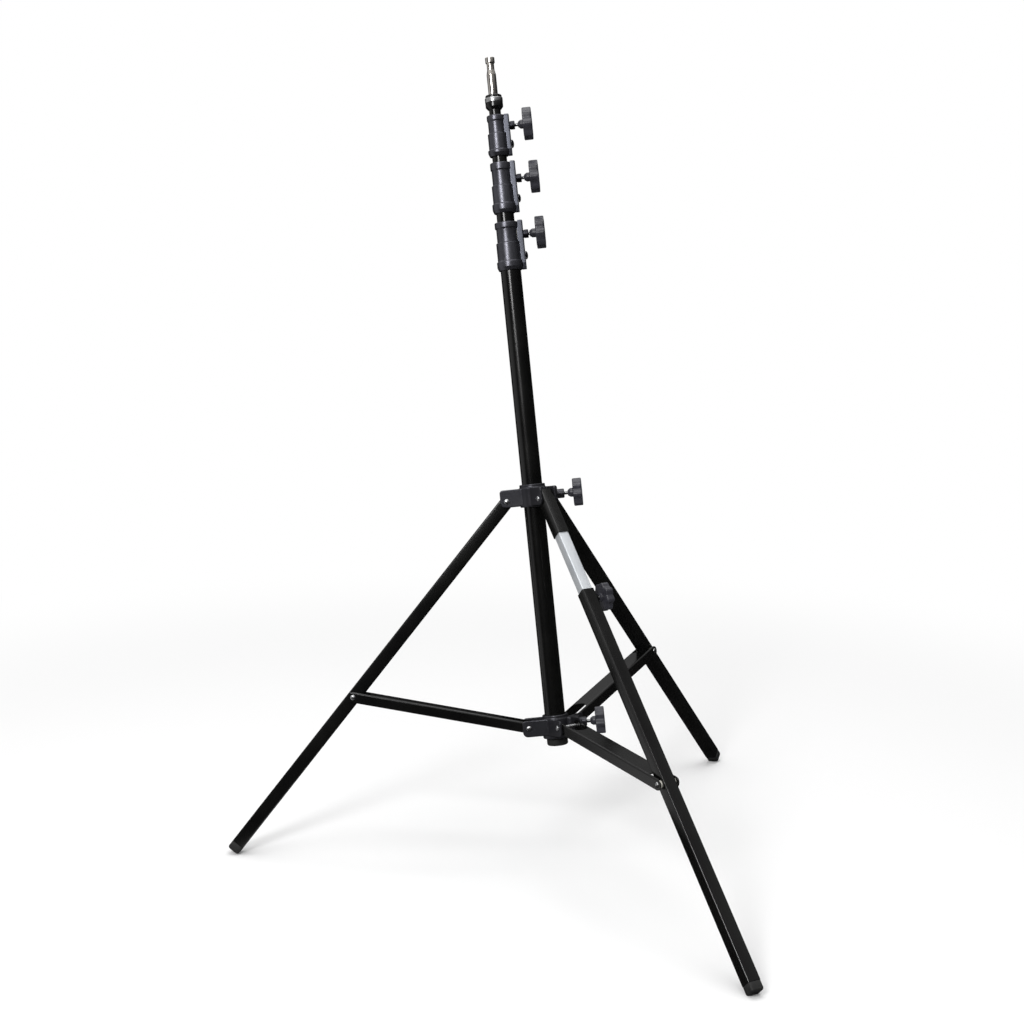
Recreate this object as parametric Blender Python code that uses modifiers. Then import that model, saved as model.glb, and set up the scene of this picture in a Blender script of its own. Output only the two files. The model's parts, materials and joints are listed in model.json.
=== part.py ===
"""Studio stand: a three-riser steel column on three folding legs, the front one a levelling leg.

Stand frame: the column axis is +Z, and its origin is level with the lower pivots of the struts.
Leg frame: the leg hangs along -Z from its upper pivot, and the pivot's axis is Y.
Strut frame: the strut runs along +X from its lower pivot, and its closed side faces +Z.
The levelling leg is drawn out, so the stand frame leans and the three feet meet the floor at z = 0.
"""

import bpy
import bmesh
from math import acos, atan2, cos, pi, radians, sin, sqrt
from mathutils import Matrix, Vector

# Clearances
GAP = 0.0003
OVERSHOOT = 0.02

# Column and risers
BASE_R = 0.0175
TUBE_WALL = 0.0015
RISER_PLAY = 0.0010
RISER_R = tuple(BASE_R - k * (TUBE_WALL + RISER_PLAY) for k in (1, 2, 3))
BASE_BOTTOM = -0.0230
RISER_STEP = 0.0360
RISER_BOTTOM = -0.0010
BUSH_FLANGE = 0.006
BUSH_PLUG = 0.014
BUSH_WALL = 0.002
PLUG_R = BASE_R + 0.0005
PLUG_CAP = 0.0120
PLUG_ROUND = 0.0040

# Riser collars, from the bottom one up: base tube, riser 1, riser 2
COLLAR_BOTTOM = 0.7800
COLLAR_HEIGHT = (0.0840, 0.0875, 0.0705)
CLOSED_GAP = (0.0140, 0.0095, 0.0095)
COLLAR_SCREW_BELOW_TOP = (0.0240, 0.0300, 0.0195)
COLLAR_RIVET = (0.0235, 0.0235, 0.0195)
COLLAR_WALL = 0.0029
COLLAR_FOOT_WALL = 0.0038
COLLAR_SEAT = 0.0360
TOP_FLANGE = 0.0020
TOP_FLANGE_H = 0.0075
WAIST_STEP = 0.0014
WAIST_STEP_SHARE = 0.46
FOOT_FLANGE = 0.0024
FOOT_FLANGE_H = 0.0058
PLATE_STEP_SHARE = 0.40
EDGE = 0.0008

# Clamp plate, brake shoe and their fixings on each riser collar
PLATE_STAND = 0.0100
PLATE_ROOT = 0.0050
PLATE_HEAD = 0.0095
PLATE_STEM = 0.0075
PLATE_TIP = 0.0040
PLATE_TAPER = 0.0110
PLATE_EDGE = 0.0008
PLATE_CORNER = 0.0020
PLATE_STEP_ROUND = 0.0010
SHOE_WIDTH = 0.0120
SHOE_HEIGHT = 0.0160
NUT_R = 0.0073
NUT_LENGTH = 0.0085
NUT_NECK_R = 0.0052
NUT_NECK = 0.0040
PLATE_RIVET_R = 0.0025
PLATE_RIVET_HEAD_R = 0.0072
PLATE_RIVET_DOME = 0.0040

# Clamping knobs and screws
SCREW_R = 0.0030
SCREW_IN_KNOB = 0.0100
KNOB_R = 0.0275
KNOB_THICK = 0.0155
KNOB_GRIP = (0.0490, 0.0482, 0.0455)
KNOB_HUB = (0.0383, 0.0385, 0.0371)
KNOB_HUB_R = 0.0076
KNOB_HUB_TIP_R = 0.0050
KNOB_HUB_CONE = 0.0020
KNOB_LOBES = 6
KNOB_LOBE_DEPTH = 0.0055
KNOB_POINTS_PER_LOBE = 7
KNOB_EDGE = 0.0014
SMALL_KNOB_R = 0.0240

# Spigot at the top of riser 3
SPIGOT_SKIRT_R = 0.0147
SPIGOT_SKIRT = 0.0120
SPIGOT_BAND_R = 0.0151
SPIGOT_BAND = 0.0080
SPIGOT_CORE_R = 0.0126
SPIGOT_CORE_EDGE = 0.0016
SPIGOT_FOOT_WALL = 0.0015
SPIGOT_TOP = 0.0050
SPIGOT_SOCKET = 0.0115
STUD_R = 0.0080
STUD_HEIGHT = 0.0642
STUD_HEAD = 0.0110
STUD_NECK = 0.0150
STUD_NECK_R = 0.0064
STUD_CONE = 0.0030
STUD_SHANK_R = 0.0050
STUD_SHANK = 0.0120

# Leg linkage
LEG_AZIMUTHS = {"left": 180.0, "front": 300.0, "back": 60.0}
PIVOT_RADIUS = 0.0452
COLLAR_SPACING = 0.3882
KNEE_BELOW_PIVOT = 0.4271
LEG_ANGLE = 43.88
LEG_LENGTH = 0.7755
LEVEL_DRAWN = 0.1150
LEG_TUBE = 0.0220
LEG_WALL = 0.0015
LEG_CORNER = 0.0025
LEG_OVERHANG = 0.0120
PIVOT_PIN_R = 0.0030
PIVOT_HEAD_R = 0.0046
PIVOT_DOME = 0.0020
PIVOT_BUSH_R = 0.0060

# Levelling leg
SLEEVE_LENGTH = 0.0765
SLEEVE_MEETS = 0.0015
INNER_TUBE = LEG_TUBE - 2 * (LEG_WALL + GAP)
INNER_CORNER = 0.0018
INNER_TOP = -0.0100
INNER_LENGTH = 0.3700
LEVEL_SCREW_BELOW = 0.0140
LEVEL_BOSS = 0.0055
LEVEL_BOSS_R = 0.0065
LEVEL_HUB = 0.0190
LEVEL_GRIP = 0.0225
LEVEL_KNOB_THICK = 0.0135

# Feet
FOOT_CAP = 0.0150
FOOT_PLUG = 0.0220
FOOT_ROUND = 0.0040
FOOT_WEAR = 0.0010

# Struts
STRUT_WIDTH = 0.0350
STRUT_HEIGHT = 0.0180
STRUT_SHEET = 0.0020
STRUT_BEND = 0.0030
STRUT_LEG_CUT = 0.0280
STRUT_NOTCH = 0.0500
STRUT_LIP = 0.0010
# A round end takes this share of the half width, so that its two arcs never meet.
ROUND_END_SHARE = 0.98

# Leg collars
HUB_WALL = 0.0060
HUB_BESIDE_CHEEK = 0.0018
RING_STEP = 0.0015
RING_H = 0.0050
HUB_EDGE = 0.0010
CHEEK = 0.0038
CHEEK_OVERHANG = 0.0110
CHEEK_TOP_ROUND = 0.0050
CHEEK_FOOT_ROUND = 0.0085
SLOT_CLEARANCE = 0.0004
UPPER_COLLAR = {"bottom": -0.0130, "top": 0.0258, "cheek_low": -0.0105, "cheek_high": 0.0197}
LOWER_COLLAR = {"bottom": -0.0220, "top": 0.0180, "cheek_low": -0.0150, "cheek_high": 0.0126}
CLAMP_BLOCK_ROOT = BASE_R + 0.0015
CLAMP_BLOCK = 0.0410
CLAMP_BLOCK_HALF = 0.0120
CLAMP_BLOCK_MARGIN = 0.0030
CLAMP_BOSS_R = 0.0080
CLAMP_BOSS = 0.0535
CLAMP_HUB = 0.0595
CLAMP_GRIP = 0.0685
UPPER_SCREW_RISE = 0.0050
LOWER_SCREW_RISE = 0.0010

# Facets
STEPS = 24
SMALL_STEPS = 16
PIN_STEPS = 12
ARC_STEPS = 4
DOME_STEPS = 3
SHARP = radians(40)
# The bevel tool's profile value that makes a circular arc.
ROUND_PROFILE = 0.5
# The block of floor that wears the feet flat reaches this far out and down.
FLOOR_REACH = 1.5
FLOOR_DEPTH = 0.2

FINISHES = {
    "satin_black": ((0.017, 0.017, 0.016), 0.38, 0.0),
    "cast_grey": ((0.060, 0.060, 0.070), 0.42, 0.6),
    "plate_grey": ((0.250, 0.260, 0.300), 0.40, 0.7),
    "knob_grey": ((0.085, 0.080, 0.095), 0.45, 0.1),
    "bright_steel": ((0.600, 0.600, 0.610), 0.25, 1.0),
    "chrome": ((0.750, 0.740, 0.730), 0.10, 1.0),
    "rubber": ((0.012, 0.012, 0.012), 0.75, 0.0),
    "nylon": ((0.500, 0.500, 0.480), 0.55, 0.0),
}


# Scene, frames and materials

def clear_scene():
    for obj in list(bpy.data.objects):
        bpy.data.objects.remove(obj)


def make_collection(name):
    collection = bpy.data.collections.new(name)
    bpy.context.scene.collection.children.link(collection)
    return collection


def finish(obj, finish_name):
    """Give the object a Principled material of its own."""
    colour, roughness, metallic = FINISHES[finish_name]
    material = bpy.data.materials.new(obj.name)
    material.use_nodes = True
    shader = material.node_tree.nodes["Principled BSDF"]
    shader.inputs["Base Color"].default_value = (*colour, 1.0)
    shader.inputs["Roughness"].default_value = roughness
    shader.inputs["Metallic"].default_value = metallic
    obj.data.materials.clear()
    obj.data.materials.append(material)


def make_frame(name, parent, matrix):
    """An empty that carries the pieces of one body."""
    empty = bpy.data.objects.new(name, None)
    PARTS.objects.link(empty)
    empty.parent = parent
    empty.matrix_basis = matrix
    return empty


def place(name, mesh, frame, matrix=Matrix(), finish_name=None):
    """A piece with its finish, or without one a hidden cutter or guide."""
    obj = bpy.data.objects.new(name, mesh)
    obj.parent = frame
    obj.matrix_basis = matrix
    if finish_name:
        PARTS.objects.link(obj)
        finish(obj, finish_name)
    else:
        CUTTERS.objects.link(obj)
        obj.hide_render = True
        obj.display_type = "WIRE"
    return obj


def boolean(target, tool, operation):
    modifier = target.modifiers.new(tool.name, "BOOLEAN")
    modifier.operation = operation
    modifier.object = tool
    modifier.solver = "EXACT"


def cut(target, mesh, frame, matrix=Matrix()):
    """Take a shape out of the target."""
    boolean(target, place(target.name + ".cut", mesh, frame, matrix), "DIFFERENCE")


def add(target, mesh, frame, matrix=Matrix()):
    """Fuse a shape to the target."""
    boolean(target, place(target.name + ".add", mesh, frame, matrix), "UNION")


def keep(target, mesh, frame, matrix=Matrix()):
    """Keep only what lies inside a shape."""
    boolean(target, place(target.name + ".keep", mesh, frame, matrix), "INTERSECT")


# Meshes

def smooth(mesh):
    mesh.shade_smooth()
    mesh.set_sharp_from_angle(angle=SHARP)
    return mesh


def evaluated_mesh(obj):
    """The object's mesh with its modifiers or its curve worked out; the object is removed."""
    PARTS.objects.link(obj)
    graph = bpy.context.evaluated_depsgraph_get()
    mesh = bpy.data.meshes.new_from_object(obj.evaluated_get(graph))
    bpy.data.objects.remove(obj)
    return mesh


def turned(profile, steps=STEPS, ring=False):
    """A profile of (radius, height) points, run down its outer side, turned about Z."""
    mesh = bpy.data.meshes.new("profile")
    count = len(profile)
    edges = [(i, i + 1) for i in range(count - 1)]
    if ring:
        edges.append((count - 1, 0))
    mesh.from_pydata([(r, 0.0, z) for r, z in profile], edges, [])
    obj = bpy.data.objects.new("profile", mesh)
    screw = obj.modifiers.new("turn", "SCREW")
    screw.axis = "Z"
    screw.angle = 2 * pi
    screw.steps = steps
    screw.render_steps = steps
    screw.use_merge_vertices = True
    screw.merge_threshold = 0.00001
    return smooth(evaluated_mesh(obj))


def rod(radius, low, high, steps=SMALL_STEPS):
    return turned([(0.0, high), (radius, high), (radius, low), (0.0, low)], steps)


def pipe(outer, inner, low, high, steps=STEPS):
    return turned([(outer, high), (outer, low), (inner, low), (inner, high)], steps, ring=True)


def outline_solid(points, low, high, hole=None):
    """A flat outline, filled round its hole if it has one, and drawn out along Z."""
    curve = bpy.data.curves.new("outline", "CURVE")
    curve.dimensions = "2D"
    curve.fill_mode = "BOTH"
    curve.extrude = (high - low) / 2
    for ring in (points, hole or []):
        if not ring:
            continue
        spline = curve.splines.new("POLY")
        spline.points.add(len(ring) - 1)
        for point, (x, y) in zip(spline.points, ring):
            point.co = (x, y, 0.0, 1.0)
        spline.use_cyclic_u = True
    mesh = evaluated_mesh(bpy.data.objects.new("outline", curve))
    shape = bmesh.new()
    shape.from_mesh(mesh)
    bmesh.ops.remove_doubles(shape, verts=shape.verts, dist=0.00001)
    if not hole:
        flat = radians(1)
        bmesh.ops.dissolve_limit(shape, angle_limit=flat, verts=shape.verts, edges=shape.edges)
    bmesh.ops.translate(shape, verts=shape.verts, vec=(0.0, 0.0, (low + high) / 2))
    bmesh.ops.recalc_face_normals(shape, faces=shape.faces)
    shape.to_mesh(mesh)
    shape.free()
    return smooth(mesh)


def circle(x, y, radius, steps=PIN_STEPS):
    return [(x + radius * cos(2 * pi * k / steps), y + radius * sin(2 * pi * k / steps))
            for k in range(steps)]


def fillet(corners):
    """An outline through (x, y, radius) corners, each rounded to its radius by an arc."""
    points = []
    count = len(corners)
    for i, (x, y, radius) in enumerate(corners):
        here = Vector((x, y))
        if radius == 0.0:
            points.append((x, y))
            continue
        back = (Vector(corners[i - 1][:2]) - here).normalized()
        ahead = (Vector(corners[(i + 1) % count][:2]) - here).normalized()
        half = acos(max(-1.0, min(1.0, back.dot(ahead)))) / 2
        centre = here + (back + ahead).normalized() * (radius / sin(half))
        start = here + back * (radius * cos(half) / sin(half)) - centre
        end = here + ahead * (radius * cos(half) / sin(half)) - centre
        sweep = start.angle_signed(end)
        for k in range(ARC_STEPS + 1):
            turn = Matrix.Rotation(-sweep * k / ARC_STEPS, 2)
            points.append(tuple(centre + turn @ start))
    return points


def box(low, high):
    shape = bmesh.new()
    bmesh.ops.create_cube(shape, size=1.0)
    size = Vector(high) - Vector(low)
    bmesh.ops.scale(shape, vec=size, verts=shape.verts)
    bmesh.ops.translate(shape, vec=(Vector(high) + Vector(low)) / 2, verts=shape.verts)
    mesh = bpy.data.meshes.new("box")
    shape.to_mesh(mesh)
    shape.free()
    return mesh


def rounded_bar(side, low, high, corner, round_foot=False, segments=2):
    """A square bar along Z with its long edges rounded, and its lower edges too for a foot."""
    mesh = box((-side / 2, -side / 2, low), (side / 2, side / 2, high))
    shape = bmesh.new()
    shape.from_mesh(mesh)
    middle = (low + high) / 2
    chosen = []
    for edge in shape.edges:
        heights = [v.co.z for v in edge.verts]
        along = abs(heights[0] - heights[1]) > (high - low) / 2
        at_foot = max(heights) < middle
        if along or (round_foot and at_foot):
            chosen.append(edge)
    bmesh.ops.bevel(shape, geom=chosen, offset=corner, segments=segments, profile=ROUND_PROFILE,
                    affect="EDGES")
    shape.to_mesh(mesh)
    shape.free()
    return smooth(mesh)


def square_tube(name, side, corner, top, foot, frame, finish_name):
    """A square leg tube whose top and foot are distances down the leg."""
    tube = place(name, rounded_bar(side, -foot, -top, corner), frame, Matrix(), finish_name)
    bore = rounded_bar(side - 2 * LEG_WALL, -foot - OVERSHOOT, -top + OVERSHOOT, corner / 2)
    cut(tube, bore, frame)
    return tube


def across(distance=0.0):
    """Turns a shape made along Z to lie along Y, at a distance down the leg."""
    return Matrix.Translation((0.0, 0.0, -distance)) @ Matrix.Rotation(-pi / 2, 4, "X")


def outward(height):
    """Turns a shape made along Z to lie along +X, at a height on the column."""
    return Matrix.Translation((0.0, 0.0, height)) @ Matrix.Rotation(pi / 2, 4, "Y")


def spoke(azimuth):
    return Matrix.Rotation(radians(azimuth), 4, "Z")


# Linkage geometry

def linkage(drawn):
    """The leg's angle and the strut's angle from the column, with the leg drawn out by a length."""
    strut = sqrt(
        KNEE_BELOW_PIVOT**2 + COLLAR_SPACING**2
        - 2 * KNEE_BELOW_PIVOT * COLLAR_SPACING * cos(radians(LEG_ANGLE))
    )
    leg = KNEE_BELOW_PIVOT + drawn
    leg_angle = acos((leg**2 + COLLAR_SPACING**2 - strut**2) / (2 * leg * COLLAR_SPACING))
    rise = COLLAR_SPACING - leg * cos(leg_angle)
    return strut, leg_angle, atan2(leg * sin(leg_angle), rise)


def leg_drawn(name):
    return LEVEL_DRAWN if name == "front" else 0.0


def leg_matrix(name):
    angle = linkage(leg_drawn(name))[1]
    at_pivot = Matrix.Translation((PIVOT_RADIUS, 0.0, COLLAR_SPACING))
    return spoke(LEG_AZIMUTHS[name]) @ at_pivot @ Matrix.Rotation(-angle, 4, "Y")


def strut_matrix(name):
    angle = linkage(leg_drawn(name))[2]
    at_pivot = Matrix.Translation((PIVOT_RADIUS, 0.0, 0.0))
    return spoke(LEG_AZIMUTHS[name]) @ at_pivot @ Matrix.Rotation(angle - pi / 2, 4, "Y")


def standing_matrix():
    """Leans the stand frame so that the ends of the three leg axes lie on the floor."""
    ends = []
    for name in LEG_AZIMUTHS:
        length = LEG_LENGTH + leg_drawn(name)
        ends.append(leg_matrix(name) @ Vector((0.0, 0.0, -length)))
    normal = (ends[1] - ends[0]).cross(ends[2] - ends[0]).normalized()
    if normal.z < 0:
        normal.negate()
    lean = normal.rotation_difference(Vector((0.0, 0.0, 1.0))).to_matrix().to_4x4()
    height = (lean @ ends[0]).z
    return Matrix.Translation((0.0, 0.0, -height)) @ lean


def foot_end(name):
    """How far down the leg its cap ends, so that its lowest round dips below the floor by the wear."""
    down = (standing_matrix() @ leg_matrix(name)).to_3x3().transposed() @ Vector((0.0, 0.0, -1.0))
    height = (standing_matrix() @ leg_matrix(name)).translation.z
    half = LEG_TUBE / 2 - FOOT_ROUND
    reach = height + FOOT_WEAR - half * (abs(down.x) + abs(down.y)) - FOOT_ROUND
    return FOOT_ROUND + reach / abs(down.z)


# Column pieces

def collar_bottoms():
    bottoms = []
    height = COLLAR_BOTTOM
    for tall, gap in zip(COLLAR_HEIGHT, CLOSED_GAP):
        bottoms.append(height)
        height += tall + gap
    return bottoms, height


def collar_outline(level, grow=0.0):
    """The collar's outer side from top to bottom, grown by a clearance for its plate."""
    bottom = collar_bottoms()[0][level]
    top = bottom + COLLAR_HEIGHT[level]
    step = top - WAIST_STEP_SHARE * COLLAR_HEIGHT[level]
    head = RISER_R[level] + COLLAR_WALL + grow
    foot = (BASE_R, *RISER_R)[level] + COLLAR_FOOT_WALL + grow
    return [
        (head + TOP_FLANGE - EDGE, top),
        (head + TOP_FLANGE, top - EDGE),
        (head + TOP_FLANGE, top - TOP_FLANGE_H + EDGE),
        (head, top - TOP_FLANGE_H),
        (waist_radius(level, step + WAIST_STEP) + grow, step + WAIST_STEP),
        (waist_radius(level, step) + WAIST_STEP + grow, step),
        (foot, bottom + FOOT_FLANGE_H),
        (foot + FOOT_FLANGE, bottom + FOOT_FLANGE_H - EDGE),
        (foot + FOOT_FLANGE, bottom + EDGE),
        (foot + FOOT_FLANGE - EDGE, bottom),
    ]


def waist_radius(level, height):
    """The collar's radius at a height between its flanges, above its step."""
    bottom = collar_bottoms()[0][level]
    low = bottom + FOOT_FLANGE_H
    high = bottom + COLLAR_HEIGHT[level] - TOP_FLANGE_H
    share = (high - height) / (high - low)
    tube = (BASE_R, *RISER_R)[level]
    return RISER_R[level] + (tube - RISER_R[level]) * share + COLLAR_WALL


def make_collar(level, prefix, frame):
    """One riser collar: body, clamp plate, brake shoe, plate rivet and threaded boss."""
    bottom = collar_bottoms()[0][level]
    tall = COLLAR_HEIGHT[level]
    tube = (BASE_R, *RISER_R)[level]
    riser = RISER_R[level]
    seat = bottom + COLLAR_SEAT + GAP
    screw = bottom + tall - COLLAR_SCREW_BELOW_TOP[level]
    rivet = bottom + COLLAR_RIVET[level]
    profile = collar_outline(level) + [
        (tube + GAP, bottom),
        (tube + GAP, seat),
        (riser + GAP, seat),
        (riser + GAP, bottom + tall),
    ]
    body = place(prefix + "_collar", turned(profile, ring=True), frame, Matrix(), "cast_grey")
    half_width = SHOE_WIDTH / 2 + GAP
    half_height = SHOE_HEIGHT / 2 + GAP
    window = box((0.0, -half_width, screw - half_height),
                 (tube + OVERSHOOT, half_width, screw + half_height))
    cut(body, window, frame)
    rivet_hole = rod(PLATE_RIVET_R + GAP, 0.0, tube + OVERSHOOT, PIN_STEPS)
    cut(body, rivet_hole, frame, outward(rivet))

    face = riser + COLLAR_WALL + PLATE_STAND
    make_plate(level, prefix, frame, face, screw, rivet)
    make_shoe(level, prefix, frame, screw)
    nut = [
        (SCREW_R + GAP, face + NUT_LENGTH),
        (NUT_R - EDGE, face + NUT_LENGTH),
        (NUT_R, face + NUT_LENGTH - EDGE),
        (NUT_R, face + GAP),
        (NUT_NECK_R, face + GAP),
        (NUT_NECK_R, face - NUT_NECK),
        (SCREW_R + GAP, face - NUT_NECK),
    ]
    place(prefix + "_clamp_boss", turned(nut, SMALL_STEPS, ring=True), frame,
          outward(screw), "satin_black")
    place(prefix + "_plate_rivet",
          headed_pin(PLATE_RIVET_R, PLATE_RIVET_HEAD_R, PLATE_RIVET_DOME, tube + 2 * GAP, face + GAP),
          frame, outward(rivet), "satin_black")
    return screw


def make_plate(level, prefix, frame, face, screw, rivet):
    """The clamp plate: a T outline, hollowed to saddle the collar's outer side."""
    bottom = collar_bottoms()[0][level]
    top = bottom + COLLAR_HEIGHT[level]
    step = top - PLATE_STEP_SHARE * COLLAR_HEIGHT[level]
    corners = [
        (-top, -PLATE_HEAD, PLATE_CORNER),
        (-top, PLATE_HEAD, PLATE_CORNER),
        (-step, PLATE_HEAD, PLATE_STEP_ROUND),
        (-step, PLATE_STEM, PLATE_STEP_ROUND),
        (-bottom - PLATE_TAPER, PLATE_STEM, 0.0),
        (-bottom, PLATE_TIP, PLATE_CORNER),
        (-bottom, -PLATE_TIP, PLATE_CORNER),
        (-bottom - PLATE_TAPER, -PLATE_STEM, 0.0),
        (-step, -PLATE_STEM, PLATE_STEP_ROUND),
        (-step, -PLATE_HEAD, PLATE_STEP_ROUND),
    ]
    plate = place(prefix + "_clamp_plate", outline_solid(fillet(corners), PLATE_ROOT, face), frame,
                  outward(0.0), "plate_grey")
    bevel = plate.modifiers.new("worn edges", "BEVEL")
    bevel.width = PLATE_EDGE
    bevel.segments = 1
    bevel.limit_method = "ANGLE"
    bevel.angle_limit = radians(60)
    neck_foot = face - NUT_NECK - GAP
    bore = [
        (0.0, face + OVERSHOOT),
        (NUT_NECK_R + GAP, face + OVERSHOOT),
        (NUT_NECK_R + GAP, neck_foot),
        (SCREW_R + GAP, neck_foot),
        (SCREW_R + GAP, 0.0),
        (0.0, 0.0),
    ]
    cut(plate, turned(bore, SMALL_STEPS), frame, outward(screw))
    hole = rod(PLATE_RIVET_R + GAP, 0.0, face + OVERSHOOT, PIN_STEPS)
    cut(plate, hole, frame, outward(rivet))
    outer = collar_outline(level, GAP)
    hollow = [(0.0, top + OVERSHOOT), (outer[0][0] + EDGE, top + OVERSHOOT)]
    hollow += outer[1:-1]
    hollow += [(outer[-1][0] + EDGE, bottom - OVERSHOOT), (0.0, bottom - OVERSHOOT)]
    cut(plate, turned(hollow), frame)


def shoe_face(level, screw):
    """How far out the shoe reaches, clear of the plate that saddles the collar there."""
    return sqrt(waist_radius(level, screw + SHOE_HEIGHT / 2)**2 - (SHOE_WIDTH / 2)**2)


def make_shoe(level, prefix, frame, screw):
    """The brake shoe that the screw presses on the riser through the collar's window."""
    riser = RISER_R[level]
    outer = shoe_face(level, screw)
    shoe = place(prefix + "_brake_shoe",
                 box((riser / 2, -SHOE_WIDTH / 2, screw - SHOE_HEIGHT / 2),
                     (outer, SHOE_WIDTH / 2, screw + SHOE_HEIGHT / 2)),
                 frame, Matrix(), "nylon")
    cut(shoe, rod(riser + GAP, screw - SHOE_HEIGHT, screw + SHOE_HEIGHT, STEPS), frame)


def dome_profile(head_radius, dome, shoulder):
    profile = []
    for k in range(DOME_STEPS):
        turn = k * (pi / 2) / DOME_STEPS
        profile.append((head_radius * sin(turn), shoulder + dome * cos(turn)))
    return profile + [(head_radius, shoulder)]


def headed_pin(radius, head_radius, dome, start, shoulder):
    """A pin along Z from start to its shoulder, with a domed head beyond."""
    profile = dome_profile(head_radius, dome, shoulder)
    profile += [(radius, shoulder), (radius, start), (0.0, start)]
    return turned(profile, PIN_STEPS)


def double_headed_pin(radius, head_radius, dome, shoulder):
    """A pin along Z, centred, with a domed head beyond each shoulder."""
    top = dome_profile(head_radius, dome, shoulder) + [(radius, shoulder)]
    below = [(r, -z) for r, z in reversed(top)]
    return turned(top + below, PIN_STEPS)


def knob_mesh(radius, grip, thickness):
    """The lobed grip: its radius falls between the lobes by a cosine of the angle."""
    count = KNOB_LOBES * KNOB_POINTS_PER_LOBE
    points = []
    for k in range(count):
        turn = 2 * pi * (k + 0.5) / count
        reach = radius - KNOB_LOBE_DEPTH * (1 - cos(KNOB_LOBES * turn)) / 2
        points.append((reach * cos(turn), reach * sin(turn)))
    return outline_solid(points, grip, grip + thickness)


def make_knob(prefix, frame, radius, hub, grip, thickness, tip):
    """A knob and its screw, both made along the screw's axis."""
    knob = place(prefix + "_knob", knob_mesh(radius, grip, thickness), frame, Matrix(), "knob_grey")
    bevel = knob.modifiers.new("moulded edges", "BEVEL")
    bevel.width = KNOB_EDGE
    bevel.segments = 1
    bevel.limit_method = "ANGLE"
    bevel.angle_limit = radians(60)
    middle = grip + thickness / 2
    boss = [(0.0, middle), (KNOB_HUB_R, middle), (KNOB_HUB_R, hub + KNOB_HUB_CONE),
            (KNOB_HUB_TIP_R, hub), (0.0, hub)]
    add(knob, turned(boss, SMALL_STEPS), frame)
    depth = grip + SCREW_IN_KNOB
    cut(knob, rod(SCREW_R + GAP, hub - OVERSHOOT, depth + GAP, PIN_STEPS), frame)
    shaft = [(0.0, depth), (SCREW_R, depth), (SCREW_R, tip + EDGE), (SCREW_R - EDGE, tip), (0.0, tip)]
    place(prefix + "_screw", turned(shaft, PIN_STEPS), frame, Matrix(), "bright_steel")


def make_base(frame):
    """The base tube and the rubber plug in its foot."""
    tube_top = COLLAR_BOTTOM + COLLAR_SEAT
    place("base_tube", pipe(BASE_R, BASE_R - TUBE_WALL, BASE_BOTTOM + GAP, tube_top), frame,
          Matrix(), "satin_black")
    inside = BASE_R - TUBE_WALL - GAP
    profile = [(0.0, BASE_BOTTOM + BUSH_PLUG), (inside - EDGE, BASE_BOTTOM + BUSH_PLUG),
               (inside, BASE_BOTTOM + BUSH_PLUG - EDGE), (inside, BASE_BOTTOM), (PLUG_R, BASE_BOTTOM)]
    for k in range(ARC_STEPS + 1):
        turn = k * (pi / 2) / ARC_STEPS
        profile.append((PLUG_R - PLUG_ROUND * (1 - cos(turn)),
                        BASE_BOTTOM - PLUG_CAP + PLUG_ROUND * (1 - sin(turn))))
    profile.append((0.0, BASE_BOTTOM - PLUG_CAP))
    place("base_end_plug", turned(profile), frame, Matrix(), "rubber")


def make_riser(level, prefix, frame, top):
    """A riser tube with the guide bush in its foot."""
    radius = RISER_R[level]
    bottom = RISER_BOTTOM + level * RISER_STEP
    outside = (BASE_R, *RISER_R)[level] - TUBE_WALL - GAP
    inside = radius - TUBE_WALL - GAP
    place(prefix + "_tube", pipe(radius, radius - TUBE_WALL, bottom, top), frame, Matrix(), "satin_black")
    bush = [
        (inside, bottom + BUSH_PLUG),
        (inside, bottom - GAP),
        (outside, bottom - GAP),
        (outside, bottom - BUSH_FLANGE),
        (inside - BUSH_WALL, bottom - BUSH_FLANGE),
        (inside - BUSH_WALL, bottom + BUSH_PLUG),
    ]
    place(prefix + "_guide_bush", turned(bush, ring=True), frame, Matrix(), "nylon")


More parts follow.
